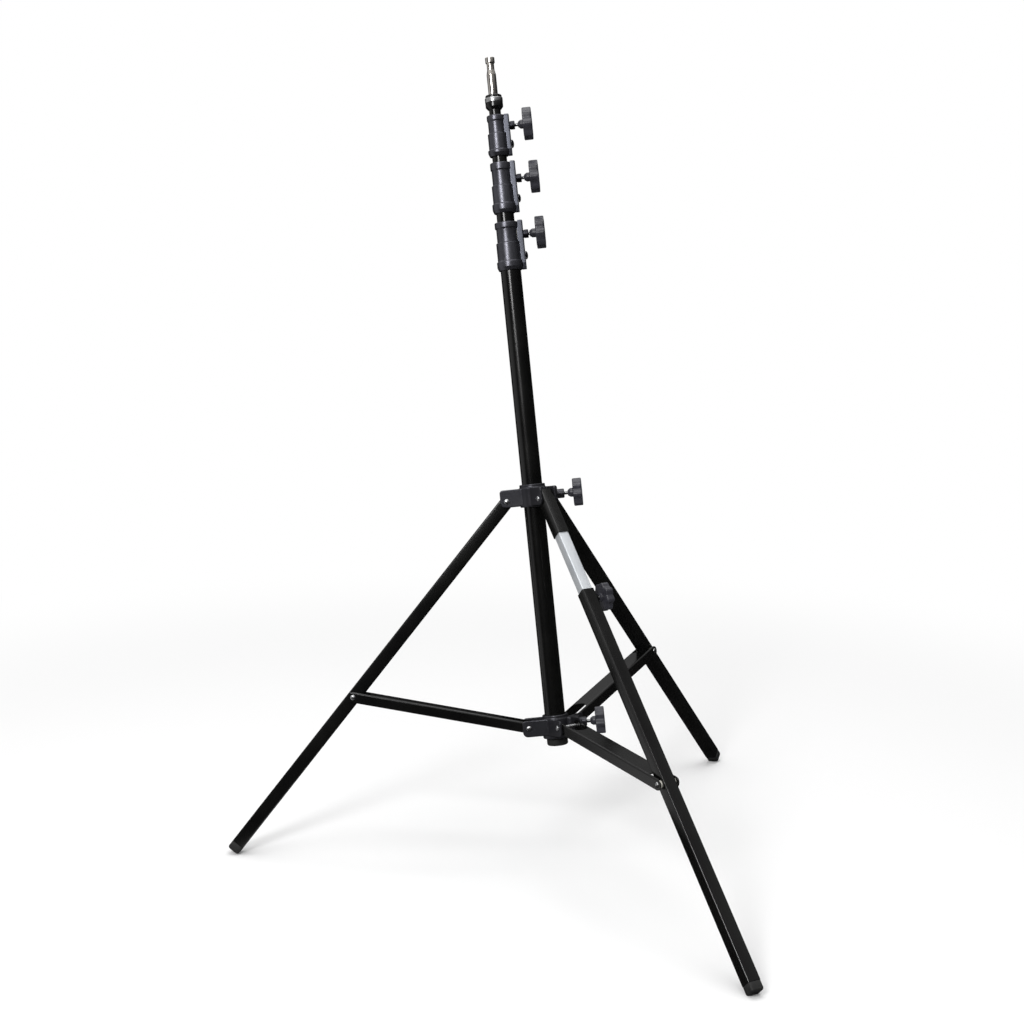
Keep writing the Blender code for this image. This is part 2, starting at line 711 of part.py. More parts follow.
def make_spigot(frame, bottom):
    """The spigot socket, its bright band and the stud."""
    riser = RISER_R[2]
    seat = bottom + SPIGOT_SOCKET + GAP
    band = bottom + SPIGOT_SKIRT
    top = band + SPIGOT_BAND + SPIGOT_TOP
    shank = top - STUD_SHANK
    profile = [
        (STUD_SHANK_R + GAP, top),
        (SPIGOT_CORE_R - SPIGOT_CORE_EDGE, top),
        (SPIGOT_CORE_R, top - SPIGOT_CORE_EDGE),
        (SPIGOT_CORE_R, band),
        (SPIGOT_SKIRT_R, band),
        (SPIGOT_SKIRT_R, bottom + SPIGOT_SKIRT / 2),
        (riser + SPIGOT_FOOT_WALL, bottom),
        (riser + GAP, bottom),
        (riser + GAP, seat),
        (STUD_SHANK_R + GAP, seat),
    ]
    place("spigot_socket", turned(profile, ring=True), frame, Matrix(), "satin_black")
    low = band + GAP
    high = band + SPIGOT_BAND
    ring = [
        (SPIGOT_CORE_R + GAP, high),
        (SPIGOT_BAND_R - EDGE, high),
        (SPIGOT_BAND_R, high - EDGE),
        (SPIGOT_BAND_R, low + EDGE),
        (SPIGOT_BAND_R - EDGE, low),
        (SPIGOT_CORE_R + GAP, low),
    ]
    place("spigot_band", turned(ring, ring=True), frame, Matrix(), "bright_steel")
    foot = top + GAP
    tip = top + STUD_HEIGHT
    neck = tip - STUD_HEAD - STUD_NECK
    stud = [
        (0.0, tip),
        (STUD_R - EDGE, tip),
        (STUD_R, tip - EDGE),
        (STUD_R, tip - STUD_HEAD),
        (STUD_NECK_R, tip - STUD_HEAD - STUD_CONE / 2),
        (STUD_NECK_R, neck),
        (STUD_R, neck - STUD_CONE),
        (STUD_R, foot),
        (STUD_SHANK_R, foot),
        (STUD_SHANK_R, shank),
        (0.0, shank),
    ]
    place("spigot_stud", turned(stud), frame, Matrix(), "chrome")


# Leg collars

def slot_half(strut):
    """Half the slot of a clevis, for a strut or for a leg."""
    return (STRUT_WIDTH if strut else LEG_TUBE) / 2 + SLOT_CLEARANCE


def clevis(low, high, half, hub, half_pins):
    """Two cheeks either side of a slot, rooted in the hub's wall, with holes unless on half pins."""
    middle = (BASE_R + hub) / 2
    root = sqrt(max(0.0, middle**2 - (half + CHEEK / 2)**2))
    reach = PIVOT_RADIUS + CHEEK_OVERHANG
    corners = fillet([
        (root, -high, 0.0),
        (reach, -high, CHEEK_TOP_ROUND),
        (reach, -low, CHEEK_FOOT_ROUND),
        (root, -low, 0.0),
    ])
    hole = None if half_pins else circle(PIVOT_RADIUS, 0.0, PIVOT_PIN_R + GAP)
    cheeks = outline_solid(corners, half, half + CHEEK, hole)
    cheeks = join_meshes(cheeks, outline_solid(corners, -half - CHEEK, -half, hole))
    cheeks.transform(Matrix.Rotation(-pi / 2, 4, "X"))
    return cheeks


def make_leg_collar(name, sizes, strut, screw, frame):
    """A cast collar, level with its pivots: a ring round the column, three clevises, a clamp block.

    The struts turn on full pins in the lower collar. The upper collar's pivots are half pins.
    """
    bottom = sizes["bottom"]
    top = sizes["top"]
    half = slot_half(strut)
    outer = half + CHEEK
    hub = max(BASE_R + HUB_WALL, outer + HUB_BESIDE_CHEEK)
    ring = hub - RING_STEP
    profile = [
        (BASE_R + GAP, top),
        (ring - HUB_EDGE, top),
        (ring, top - HUB_EDGE),
        (ring, top - RING_H),
        (hub, top - RING_H - RING_STEP),
        (hub, bottom + HUB_EDGE),
        (hub - HUB_EDGE, bottom),
        (BASE_R + GAP, bottom),
    ]
    body = place(name, turned(profile, ring=True), frame, Matrix(), "cast_grey")
    rim = CLAMP_BLOCK_MARGIN
    block = outline_solid(fillet([
        (CLAMP_BLOCK_ROOT, -CLAMP_BLOCK_HALF, 0.0),
        (CLAMP_BLOCK, -CLAMP_BLOCK_HALF, rim),
        (CLAMP_BLOCK, CLAMP_BLOCK_HALF, rim),
        (CLAMP_BLOCK_ROOT, CLAMP_BLOCK_HALF, 0.0),
    ]), screw - CLAMP_BLOCK_HALF + rim / 2, screw + CLAMP_BLOCK_HALF - rim / 2)
    add(body, block, frame)
    boss = [(0.0, CLAMP_BOSS), (CLAMP_BOSS_R - EDGE, CLAMP_BOSS), (CLAMP_BOSS_R, CLAMP_BOSS - EDGE),
            (CLAMP_BOSS_R, hub), (0.0, hub)]
    add(body, turned(boss, SMALL_STEPS), frame, outward(screw))
    for azimuth in LEG_AZIMUTHS.values():
        cheeks = clevis(sizes["cheek_low"], sizes["cheek_high"], half, hub, not strut)
        add(body, cheeks, frame, spoke(azimuth))
    cut(body, rod(SCREW_R + GAP, 0.0, CLAMP_BOSS + OVERSHOOT, PIN_STEPS), frame, outward(screw))
    for leg, azimuth in LEG_AZIMUTHS.items():
        at_pivot = spoke(azimuth) @ Matrix.Translation((PIVOT_RADIUS, 0.0, 0.0))
        if strut:
            pivot_pin(leg + "_lower_pivot_pin", outer, frame, at_pivot)
        else:
            add_half_pins(body, outer, CHEEK, frame, at_pivot)
    knob_frame = make_frame(name + "_knob_frame", frame, outward(screw))
    make_knob(name, knob_frame, SMALL_KNOB_R, CLAMP_HUB, CLAMP_GRIP, KNOB_THICK, BASE_R + GAP)


def pivot_pin(name, half, frame, matrix):
    """A riveted pivot pin across two walls, with a head on each."""
    pin = double_headed_pin(PIVOT_PIN_R, PIVOT_HEAD_R, PIVOT_DOME, half + GAP)
    place(name, pin, frame, matrix @ across(), "bright_steel")


def add_half_pins(target, half, wall, frame, matrix):
    """The heads of an open pivot's two half pins, fused to their walls."""
    for side in (-1, 1):
        profile = dome_profile(PIVOT_HEAD_R, PIVOT_DOME, half + GAP)
        profile += [(PIVOT_HEAD_R, half - wall / 2), (0.0, half - wall / 2)]
        head = turned(profile, PIN_STEPS)
        add(target, head, frame, matrix @ Matrix.Rotation(-side * pi / 2, 4, "X"))


def join_meshes(first, second):
    """Two meshes as one, still separate bodies."""
    shape = bmesh.new()
    shape.from_mesh(first)
    shape.from_mesh(second)
    shape.to_mesh(first)
    shape.free()
    return smooth(first)


# Legs and struts

def pin_hole(target, distance, radius, frame):
    reach = STRUT_WIDTH
    cut(target, rod(radius + GAP, -reach, reach, PIN_STEPS), frame, across(distance))


def make_foot(name, frame):
    """A rubber cap that plugs into the tube's end, worn flat where it stands."""
    end = foot_end(name)
    cap = rounded_bar(LEG_TUBE, -end, -end + FOOT_CAP, FOOT_ROUND, round_foot=True, segments=3)
    foot = place(name + "_foot", cap, frame, Matrix(), "rubber")
    side = LEG_TUBE - 2 * (LEG_WALL + GAP)
    plug = rounded_bar(side, -end + FOOT_CAP / 2, -end + FOOT_CAP + FOOT_PLUG, INNER_CORNER)
    add(foot, plug, frame)
    floor = box((-FLOOR_REACH, -FLOOR_REACH, -FLOOR_DEPTH), (FLOOR_REACH, FLOOR_REACH, 0.0))
    cut(foot, floor, None)
    return end - FOOT_CAP - GAP


def make_pivot_bush(name, frame, distance):
    """The spacer bush through the leg, between the lips of the strut's walls."""
    half = STRUT_WIDTH / 2 - STRUT_SHEET - STRUT_LIP - GAP
    bush = pipe(PIVOT_BUSH_R, PIVOT_PIN_R + GAP, -half, half, SMALL_STEPS)
    place(name + "_pivot_bush", bush, frame, across(distance), "nylon")


def make_plain_leg(name, frame):
    tube_end = make_foot(name, frame)
    tube = square_tube(name + "_leg_tube", LEG_TUBE, LEG_CORNER, -LEG_OVERHANG, tube_end, frame,
                       "satin_black")
    pin_hole(tube, 0.0, PIVOT_PIN_R, frame)
    pin_hole(tube, KNEE_BELOW_PIVOT, PIVOT_BUSH_R, frame)
    make_pivot_bush(name, frame, KNEE_BELOW_PIVOT)


def make_levelling_leg(upper, lower, knob):
    """The sleeve and bright tube on the pivot, and the lower tube that slides on the bright tube."""
    sleeve = square_tube("front_leg_sleeve", LEG_TUBE, LEG_CORNER, -LEG_OVERHANG, SLEEVE_LENGTH,
                         upper, "satin_black")
    pin_hole(sleeve, 0.0, PIVOT_PIN_R, upper)
    inner = square_tube("front_leg_inner_tube", INNER_TUBE, INNER_CORNER, INNER_TOP, INNER_LENGTH,
                        upper, "bright_steel")
    pin_hole(inner, 0.0, PIVOT_PIN_R, upper)
    tube_end = make_foot("front", lower)
    top = SLEEVE_LENGTH + LEVEL_DRAWN - SLEEVE_MEETS
    tube = square_tube("front_leg_lower_tube", LEG_TUBE, LEG_CORNER, top, tube_end, lower,
                       "satin_black")
    joint = KNEE_BELOW_PIVOT + LEVEL_DRAWN
    pin_hole(tube, joint, PIVOT_BUSH_R, lower)
    make_pivot_bush("front", lower, joint)
    screw = top + LEVEL_SCREW_BELOW
    face = LEG_TUBE / 2
    boss = turned([(0.0, face + LEVEL_BOSS), (LEVEL_BOSS_R - EDGE, face + LEVEL_BOSS),
                   (LEVEL_BOSS_R, face + LEVEL_BOSS - EDGE), (LEVEL_BOSS_R, face - LEG_WALL / 2),
                   (0.0, face - LEG_WALL / 2)], SMALL_STEPS)
    add(tube, boss, lower, across(screw))
    cut(tube, rod(SCREW_R + GAP, 0.0, face + LEVEL_BOSS + OVERSHOOT, PIN_STEPS), lower, across(screw))
    make_knob("levelling", knob, SMALL_KNOB_R, LEVEL_HUB, LEVEL_GRIP, LEVEL_KNOB_THICK,
              INNER_TUBE / 2 + GAP)


def strut_section():
    """The folded sheet's U section: up and over its outer side, then back along its inner side."""
    half = STRUT_WIDTH / 2
    high = STRUT_HEIGHT / 2
    inner = half - STRUT_SHEET
    ceiling = high - STRUT_SHEET
    bend = STRUT_BEND
    return fillet([
        (-half, -high, 0.0),
        (-half, high, bend),
        (half, high, bend),
        (half, -high, 0.0),
        (inner, -high, 0.0),
        (inner, ceiling, bend - STRUT_SHEET),
        (-inner, ceiling, bend - STRUT_SHEET),
        (-inner, -high, 0.0),
    ])


def make_strut(name, frame):
    """A folded channel with rounded ends, its closed side cut back round the collar and the leg.

    The levelling leg's knee slides through its strut, so that strut has half pins there.
    """
    length = linkage(0.0)[0]
    high = STRUT_HEIGHT / 2
    inner = STRUT_WIDTH / 2 - STRUT_SHEET
    along = Matrix.Rotation(pi / 2, 4, "Z") @ Matrix.Rotation(pi / 2, 4, "X")
    channel = outline_solid(strut_section(), -high, length + high)
    strut = place(name + "_strut", channel, frame, along, "satin_black")
    end_round = high * ROUND_END_SHARE
    ends = fillet([
        (-high, -high, end_round),
        (length + high, -high, end_round),
        (length + high, high, end_round),
        (-high, high, end_round),
    ])
    flat = Matrix.Rotation(pi / 2, 4, "X")
    keep(strut, outline_solid(ends, -STRUT_WIDTH, STRUT_WIDTH), frame, flat)
    lip = inner - STRUT_LIP
    notch_round = lip * ROUND_END_SHARE
    notch = fillet([
        (-STRUT_HEIGHT, -lip, 0.0),
        (STRUT_NOTCH, -lip, notch_round),
        (STRUT_NOTCH, lip, notch_round),
        (-STRUT_HEIGHT, lip, 0.0),
    ])
    cut(strut, outline_solid(notch, 0.0, STRUT_HEIGHT), frame)
    leg_cut = box((length - STRUT_LEG_CUT, -lip, 0.0), (length + STRUT_HEIGHT, lip, STRUT_HEIGHT))
    cut(strut, leg_cut, frame)
    reach = STRUT_WIDTH
    knee = Matrix.Translation((length, 0.0, 0.0))
    cut(strut, rod(PIVOT_PIN_R + GAP, -reach, reach, PIN_STEPS), frame, across())
    if name == "front":
        add_half_pins(strut, STRUT_WIDTH / 2, STRUT_SHEET, frame, knee)
        return
    cut(strut, rod(PIVOT_PIN_R + GAP, -reach, reach, PIN_STEPS), frame, knee @ across())
    pivot_pin(name + "_knee_pin", STRUT_WIDTH / 2, frame, knee)


# Assembly

def centre_on_floor(root):
    """Move the stand so that its bounding box stands centred on the origin."""
    bpy.context.view_layer.update()
    graph = bpy.context.evaluated_depsgraph_get()
    low = Vector((10.0, 10.0, 10.0))
    high = -low
    for obj in PARTS.objects:
        if obj.type != "MESH":
            continue
        mesh = obj.evaluated_get(graph).to_mesh()
        for vertex in mesh.vertices:
            point = obj.matrix_world @ vertex.co
            low = Vector(map(min, low, point))
            high = Vector(map(max, high, point))
        obj.evaluated_get(graph).to_mesh_clear()
    middle = (low + high) / 2
    root.matrix_basis = Matrix.Translation((-middle.x, -middle.y, 0.0)) @ root.matrix_basis
    bpy.context.view_layer.update()


def make_column(root):
    """The base tube's body and the three risers, each with its collar and knob."""
    parent = make_frame("column_frame", root, Matrix())
    make_base(parent)
    bottoms, spigot_bottom = collar_bottoms()
    prefixes = ("base", "riser_1", "riser_2")
    for level, prefix in enumerate(prefixes):
        screw = make_collar(level, prefix, parent)
        knob_frame = make_frame(prefix + "_knob_frame", parent, outward(screw))
        tip = shoe_face(level, screw) + GAP
        make_knob(prefix, knob_frame, KNOB_R, KNOB_HUB[level], KNOB_GRIP[level], KNOB_THICK, tip)
        riser = f"riser_{level + 1}"
        parent = make_frame(riser + "_frame", parent, Matrix())
        if riser in prefixes:
            make_riser(level, riser, parent, bottoms[level + 1] + COLLAR_SEAT)
        else:
            make_riser(level, riser, parent, spigot_bottom + SPIGOT_SOCKET)
    make_spigot(parent, spigot_bottom)


def make_legs(lower):
    """Each leg turns on its knee, at the outer end of its strut, and hangs from the upper pivot."""
    for name in LEG_AZIMUTHS:
        strut = make_frame(name + "_strut_frame", lower, strut_matrix(name))
        to_knee = Vector((0.0, 0.0, -KNEE_BELOW_PIVOT - leg_drawn(name)))
        leg_in_strut = strut_matrix(name).inverted() @ leg_matrix(name)
        knee = make_frame(name + "_knee_frame", strut, leg_in_strut @ Matrix.Translation(to_knee))
        leg = make_frame(name + "_leg_frame", knee, Matrix.Translation(-to_knee))
        make_strut(name, strut)
        if name != "front":
            make_plain_leg(name, leg)
            continue
        slider = make_frame("front_slider_frame", leg, Matrix())
        top = SLEEVE_LENGTH + LEVEL_DRAWN - SLEEVE_MEETS
        knob = make_frame("levelling_knob_frame", slider, across(top + LEVEL_SCREW_BELOW))
        make_levelling_leg(leg, slider, knob)


def make_stand():
    root = make_frame("stand_frame", None, standing_matrix())
    upper = make_frame("upper_collar_frame", root, Matrix.Translation((0.0, 0.0, COLLAR_SPACING)))
    make_leg_collar("lower_collar", LOWER_COLLAR, True, LOWER_SCREW_RISE, root)
    make_leg_collar("upper_collar", UPPER_COLLAR, False, UPPER_SCREW_RISE, upper)
    make_column(root)
    make_legs(root)
    centre_on_floor(root)


clear_scene()
PARTS = make_collection("studio_stand")
CUTTERS = make_collection("cutters")
make_stand()
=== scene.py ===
# %% [markdown]
# A studio stand, dressed for its portrait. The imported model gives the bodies, the joints and a
# plain faceted solid for each piece. This script makes the fine surfaces that the eye sees: turned
# tubes, cast collars, moulded knobs, folded struts. It then gives each one its own finish.
# The frame is loaded first, because every place below is worked out from its joints.

import json
import math

import bmesh
import bpy
import numpy as np
from mathutils import Matrix, Vector


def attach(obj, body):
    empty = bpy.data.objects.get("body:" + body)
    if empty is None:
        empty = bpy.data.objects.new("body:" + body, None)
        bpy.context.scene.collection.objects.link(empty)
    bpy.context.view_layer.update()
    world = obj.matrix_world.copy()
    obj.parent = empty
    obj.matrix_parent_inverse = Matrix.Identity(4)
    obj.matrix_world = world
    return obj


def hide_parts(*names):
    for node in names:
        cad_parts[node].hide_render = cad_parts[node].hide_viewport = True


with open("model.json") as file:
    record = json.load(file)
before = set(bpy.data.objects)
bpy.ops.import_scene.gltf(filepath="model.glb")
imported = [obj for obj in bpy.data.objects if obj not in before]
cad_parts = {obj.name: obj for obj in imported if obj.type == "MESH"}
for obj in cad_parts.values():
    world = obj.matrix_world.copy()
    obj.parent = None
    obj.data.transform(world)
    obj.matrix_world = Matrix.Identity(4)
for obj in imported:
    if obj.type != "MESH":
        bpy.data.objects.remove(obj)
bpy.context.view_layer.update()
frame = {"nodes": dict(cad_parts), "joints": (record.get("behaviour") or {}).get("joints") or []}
joints = {joint["name"]: joint for joint in frame["joints"]}

# %% [markdown]
# Everything on this stand is easy to describe in one of four frames: the column's, a leg's, a
# strut's or a knob's. They could be typed in as angles. They are worked out from the joints
# instead, so a piece can't drift away from the pivot that carries it.
# A frame is a 4 by 4 matrix whose columns are its three directions and its origin.

# %% Frames of the column, legs, struts and knobs
MM = 0.001
LEG_AZIMUTHS = {"left": 180.0, "front": 300.0, "back": 60.0}
PIVOT_RADIUS = 45.2 * MM
COLLAR_SPACING = 388.2 * MM


def frame_from(x, y, z, origin):
    """The matrix that takes local points to the stand's row frame."""
    place = np.eye(4)
    place[:3, 0], place[:3, 1], place[:3, 2], place[:3, 3] = x, y, z, origin
    return place


def unit(vector):
    return np.array(vector, float) / np.linalg.norm(vector)


def turn_z(degrees):
    angle = math.radians(degrees)
    c, s = math.cos(angle), math.sin(angle)
    return np.array([[c, -s, 0, 0], [s, c, 0, 0], [0, 0, 1, 0], [0, 0, 0, 1.0]])


def shift(x=0.0, y=0.0, z=0.0):
    place = np.eye(4)
    place[:3, 3] = x, y, z
    return place


up = unit(joints["column_height"]["axis"])
out = unit(joints["base_knob_turn"]["axis"])
pivots = np.array([joints[f"{leg}_strut_pivot"]["pos_m"] for leg in LEG_AZIMUTHS])
STAND = frame_from(out, np.cross(up, out), up, pivots.mean(axis=0))

LEG, STRUT, STRUT_LENGTH = {}, {}, {}
for leg, azimuth in LEG_AZIMUTHS.items():
    knee = np.array(joints[f"{leg}_knee_pivot"]["pos_m"])
    side = unit(joints[f"{leg}_knee_pivot"]["axis"])
    low = np.array(joints[f"{leg}_strut_pivot"]["pos_m"])
    high = (STAND @ turn_z(azimuth) @ np.array([PIVOT_RADIUS, 0, COLLAR_SPACING, 1]))[:3]
    rise = unit(high - knee)
    LEG[leg] = frame_from(np.cross(side, rise), side, rise, high)
    reach = unit(knee - low)
    STRUT[leg] = frame_from(reach, side, np.cross(reach, side), low)
    STRUT_LENGTH[leg] = np.linalg.norm(knee - low)


def knob_frame(joint):
    """A frame on a screw's axis, whose Z points out through the knob."""
    axis = unit(joints[joint]["axis"])
    level = unit(np.cross(axis, [0, 0, 1]))
    return frame_from(level, np.cross(axis, level), axis, joints[joint]["pos_m"])


print("lean of the column", round(math.degrees(math.acos(up[2])), 2), "degrees")

# %% [markdown]
# The photograph was taken from a little over a metre up, about 2.8 m away, looking slightly
# down with a short telephoto lens. The floor and the light are made at the end, but the camera is
# placed now, so that every shape can be judged from it while the script grows.

# %% Camera
CAMERA_FROM_COLUMN = (47.4 * MM, -2788.3 * MM)
CAMERA_HEIGHT = 1185.3 * MM
CAMERA_DOWN = 11.83
CAMERA_LEFT = 2.52
LENS, SENSOR_WIDTH = 59.985, 36.0

camera_data = bpy.data.cameras.new("camera")
camera_data.lens = LENS
camera_data.sensor_width = SENSOR_WIDTH
camera = bpy.data.objects.new("camera", camera_data)
bpy.context.scene.collection.objects.link(camera)
camera.location = (
    STAND[0, 3] + CAMERA_FROM_COLUMN[0],
    STAND[1, 3] + CAMERA_FROM_COLUMN[1],
    CAMERA_HEIGHT,
)
camera.rotation_euler = (math.radians(90 - CAMERA_DOWN), 0, math.radians(CAMERA_LEFT))
bpy.context.scene.camera = camera
print("camera at", [round(c, 3) for c in camera.location])

# %% [markdown]
# Materials come next, because each piece is given its finish as it is made.
# Colours are written as the hex values that a picture editor shows. Blender works in linear light,
# so one function converts them. A second one adds a node, sets its values and links its inputs.

# %% Colour and node helpers
def linear(hex_colour):
    """An sRGB hex colour as linear RGBA: the standard curve, a straight toe and a 2.4 power."""
    value = np.array([int(hex_colour[i:i + 2], 16) for i in (1, 3, 5)]) / 255
    value = np.where(value <= 0.04045, value / 12.92, ((value + 0.055) / 1.055) ** 2.4)
    return (*value.tolist(), 1.0)


def add_node(tree, kind, links=None, values=None, **settings):
    """Adds a node, sets its properties and input values, and links inputs to given sockets."""
    node = tree.nodes.new(kind)
    for name, value in settings.items():
        setattr(node, name, value)
    for key, value in (values or {}).items():
        node.inputs[key].default_value = value
    for key, socket in (links or {}).items():
        tree.links.new(socket, node.inputs[key])
    return node


def new_surface(name, **sockets):
    """A material with an empty Principled surface, whose constant values are set on its sockets."""
    material = bpy.data.materials.new(name)
    material.use_nodes = True
    tree = material.node_tree
    shader = tree.nodes["Principled BSDF"]
    for key, value in sockets.items():
        shader.inputs[key.replace("_", " ")].default_value = value
    return material, tree, shader


def coordinates(tree, place=None, stretch=(1, 1, 1)):
    """Object coordinates, or with a place the position in that piece's own frame, stretched."""
    source = add_node(tree, "ShaderNodeTexCoord").outputs["Object"]
    if place is None:
        return source
    matrix = Matrix(place.tolist())
    return add_node(
        tree, "ShaderNodeMapping", {"Vector": source},
        {"Location": matrix.translation, "Rotation": matrix.to_euler(), "Scale": stretch},
        vector_type="TEXTURE",
    ).outputs[0]


def grain(tree, vector, size_mm, detail):
    """Noise whose blotches are about size_mm across."""
    return add_node(
        tree, "ShaderNodeTexNoise", {"Vector": vector},
        {"Scale": 1000.0 / size_mm / 2, "Detail": detail, "Roughness": 0.55},
    ).outputs[0]


def spread(tree, value, low, high, start=0.3, end=0.7):
    """The value from start to end of a noise, spread over low to high."""
    return add_node(
        tree, "ShaderNodeMapRange", {"Value": value},
        {"From Min": start, "From Max": end, "To Min": low, "To Max": high},
    ).outputs[0]


def two_tone(tree, value, dark, light, start=0.35, end=0.65):
    """A colour between two hex colours, by a noise."""
    ramp = add_node(tree, "ShaderNodeValToRGB", {"Fac": value})
    ramp.color_ramp.elements[0].position = start
    ramp.color_ramp.elements[1].position = end
    ramp.color_ramp.elements[0].color = linear(dark)
    ramp.color_ramp.elements[1].color = linear(light)
    return ramp.outputs[0]


def bump(tree, height, depth_mm, strength):
    return add_node(
        tree, "ShaderNodeBump", {"Height": height},
        {"Strength": strength, "Distance": depth_mm * MM},
    ).outputs[0]


def combined(tree, operation, first, second):
    return add_node(tree, "ShaderNodeMath", {0: first, 1: second}, operation=operation).outputs[0]


def wire(tree, shader, **sockets):
    for key, socket in sockets.items():
        tree.links.new(socket, shader.inputs[key.replace("_", " ")])


print("black tube colour in linear light", [round(c, 4) for c in linear("#0e0e0d")])

# %% [markdown]
# The tubes, legs and struts are steel with a baked powder coat. The powder melts into a skin that
# is not quite flat: under a lamp it shows orange peel, low ripples about 1.5 mm across, and
# between them a satin that varies a little where the skin is thicker. A black this deep is lit
# almost only by what it mirrors, so its roughness matters more than its colour.

# %% Satin black powder coat
def powder_coat(name):
    material, tree, shader = new_surface(name, Metallic=0.0, IOR=1.5)
    place = coordinates(tree)
    peel = grain(tree, place, 1.6, 1.0)
    drift = grain(tree, place, 45.0, 3.0)
    speck = grain(tree, place, 0.5, 2.0)
    height = add_node(
        tree, "ShaderNodeMath", {0: speck, 2: peel}, {1: 0.25}, operation="MULTIPLY_ADD").outputs[0]
    wire(
        tree, shader,
        Base_Color=two_tone(tree, drift, "#080808", "#0e0e0d"),
        Roughness=spread(tree, drift, 0.17, 0.25),
        Normal=bump(tree, height, 0.02, 0.15),
    )
    return material


POWDER_BLACK = powder_coat("powder_coated_steel_black")
print("made", POWDER_BLACK.name)

# %% [markdown]
# The collars are die-cast alloy with a dark grey stoved paint that carries fine metal flake, which
# is why their edges light up bluish and soft. Die casting leaves a skin with shallow pits, about
# a millimetre apart, and the paint fills them only in part. The riser collars, their clamp plates
# and the leg collars each have their own depth of it. The leg collars get a copy of the same paint
# made nearly black: that darkening is painted shade, for the shade they lie in low on the stand.

# %% Painted die-cast alloy
def painted_casting(name, dark, light, rough, flakes):
    material, tree, shader = new_surface(name, Metallic=flakes)
    place = coordinates(tree)
    skin = grain(tree, place, 1.1, 3.0)
    drift = grain(tree, place, 25.0, 3.0)
    flake = add_node(
        tree, "ShaderNodeTexVoronoi", {"Vector": place}, {"Scale": 1600.0}).outputs["Distance"]
    height = add_node(
        tree, "ShaderNodeMath", {0: flake, 2: skin}, {1: 0.2}, operation="MULTIPLY_ADD").outputs[0]
    wire(
        tree, shader,
        Base_Color=two_tone(tree, drift, dark, light),
        Roughness=spread(tree, skin, rough - 0.06, rough + 0.08),
        Normal=bump(tree, height, 0.06, 0.3),
    )
    return material


CAST_DARK = painted_casting("painted_die_cast_alloy_dark", "#55555b", "#5f5f66", 0.34, 0.88)
CAST_LIGHT = painted_casting("painted_die_cast_alloy_light", "#54565e", "#60626b", 0.42, 0.80)
# The leg collars' paint: the collar paint made darker, as painted shade.
CAST_PAINTED_SHADE = painted_casting("painted_die_cast_alloy_painted_shade", "#3b3b40", "#454549", 0.34, 0.75)
print("made", CAST_DARK.name, CAST_LIGHT.name, CAST_PAINTED_SHADE.name)

# %% [markdown]
# The knobs are injection-moulded, glass-filled nylon. The mould is spark-eroded to hide finger
# marks, and it prints an even, matt sandy texture about 0.4 mm across. Glass fibre near the skin
# makes faint lighter streaks.

# %% Moulded nylon
def moulded_nylon(name, dark, light):
    material, tree, shader = new_surface(name, Metallic=0.0, IOR=1.53)
    place = coordinates(tree)
    spark = grain(tree, place, 0.5, 2.0)
    streak = grain(tree, place, 9.0, 4.0)
    wire(
        tree, shader,
        Base_Color=two_tone(tree, streak, dark, light),
        Roughness=spread(tree, spark, 0.26, 0.40),
        Normal=bump(tree, spark, 0.06, 0.6),
    )
    return material


NYLON_DARK = moulded_nylon("moulded_glass_nylon_dark_grey", "#2d2d33", "#3a3a41")
NYLON_PALE = moulded_nylon("moulded_nylon_natural", "#c9c7bd", "#d6d4ca")
print("made", NYLON_DARK.name, "and", NYLON_PALE.name)

# %% [markdown]
# The feet and the plug are black rubber. Rubber has no shine of its own, and its mould leaves a
# fine grain. Where it rubs on floors it is dusty, so broad patches are slightly greyer.

# %% Rubber
def moulded_rubber(name):
    material, tree, shader = new_surface(name, Metallic=0.0, IOR=1.52)
    place = coordinates(tree)
    fine = grain(tree, place, 0.7, 3.0)
    dust = grain(tree, place, 14.0, 4.0)
    wire(
        tree, shader,
        Base_Color=two_tone(tree, dust, "#131313", "#222221"),
        Roughness=spread(tree, dust, 0.62, 0.82),
        Normal=bump(tree, fine, 0.08, 0.5),
    )
    return material


RUBBER = moulded_rubber("moulded_rubber_black")
print("made", RUBBER.name)

# %% [markdown]
# Three bright metals and a black one are left. The stud is turned steel with a nickel plate, so it
# keeps the lathe's fine rings under a sharp mirror. The inner tube of the levelling leg is
# cold-drawn steel with a bright zinc plate: drawing leaves long scratches that run along the tube,
# and the plate's fine grain scatters part of the light, so it is metallic only in part. Screws and
# pins are plain zinc plate, and the threaded bosses and plate rivets are blackened.
# Rings and scratches need the piece's own frame, which a Mapping node takes from its matrix.

# %% Bare and plated metals
def turned_nickel(name, place):
    material, tree, shader = new_surface(name, Metallic=1.0)
    own = coordinates(tree, place)
    height = add_node(tree, "ShaderNodeSeparateXYZ", {"Vector": own}).outputs["Z"]
    rings = add_node(
        tree, "ShaderNodeTexNoise", {"W": height}, {"Scale": 700.0, "Detail": 2.0},
        noise_dimensions="1D").outputs[0]
    cloud = grain(tree, own, 12.0, 3.0)
    wire(
        tree, shader,
        Base_Color=two_tone(tree, cloud, "#c9c4bd", "#dcd8d2"),
        Roughness=spread(tree, cloud, 0.16, 0.22),
        Normal=bump(tree, rings, 0.004, 0.1),
    )
    return material


def drawn_zinc(name, place):
    material, tree, shader = new_surface(name, Metallic=0.7)
    stretched = coordinates(tree, place, (1.0, 1.0, 60.0))
    scratch = grain(tree, stretched, 0.9, 4.0)
    cloud = grain(tree, coordinates(tree, place), 30.0, 3.0)
    wire(
        tree, shader,
        Base_Color=two_tone(tree, cloud, "#d6dade", "#e4e7ea"),
        Roughness=spread(tree, scratch, 0.48, 0.60),
        Normal=bump(tree, scratch, 0.02, 0.4),
    )
    return material


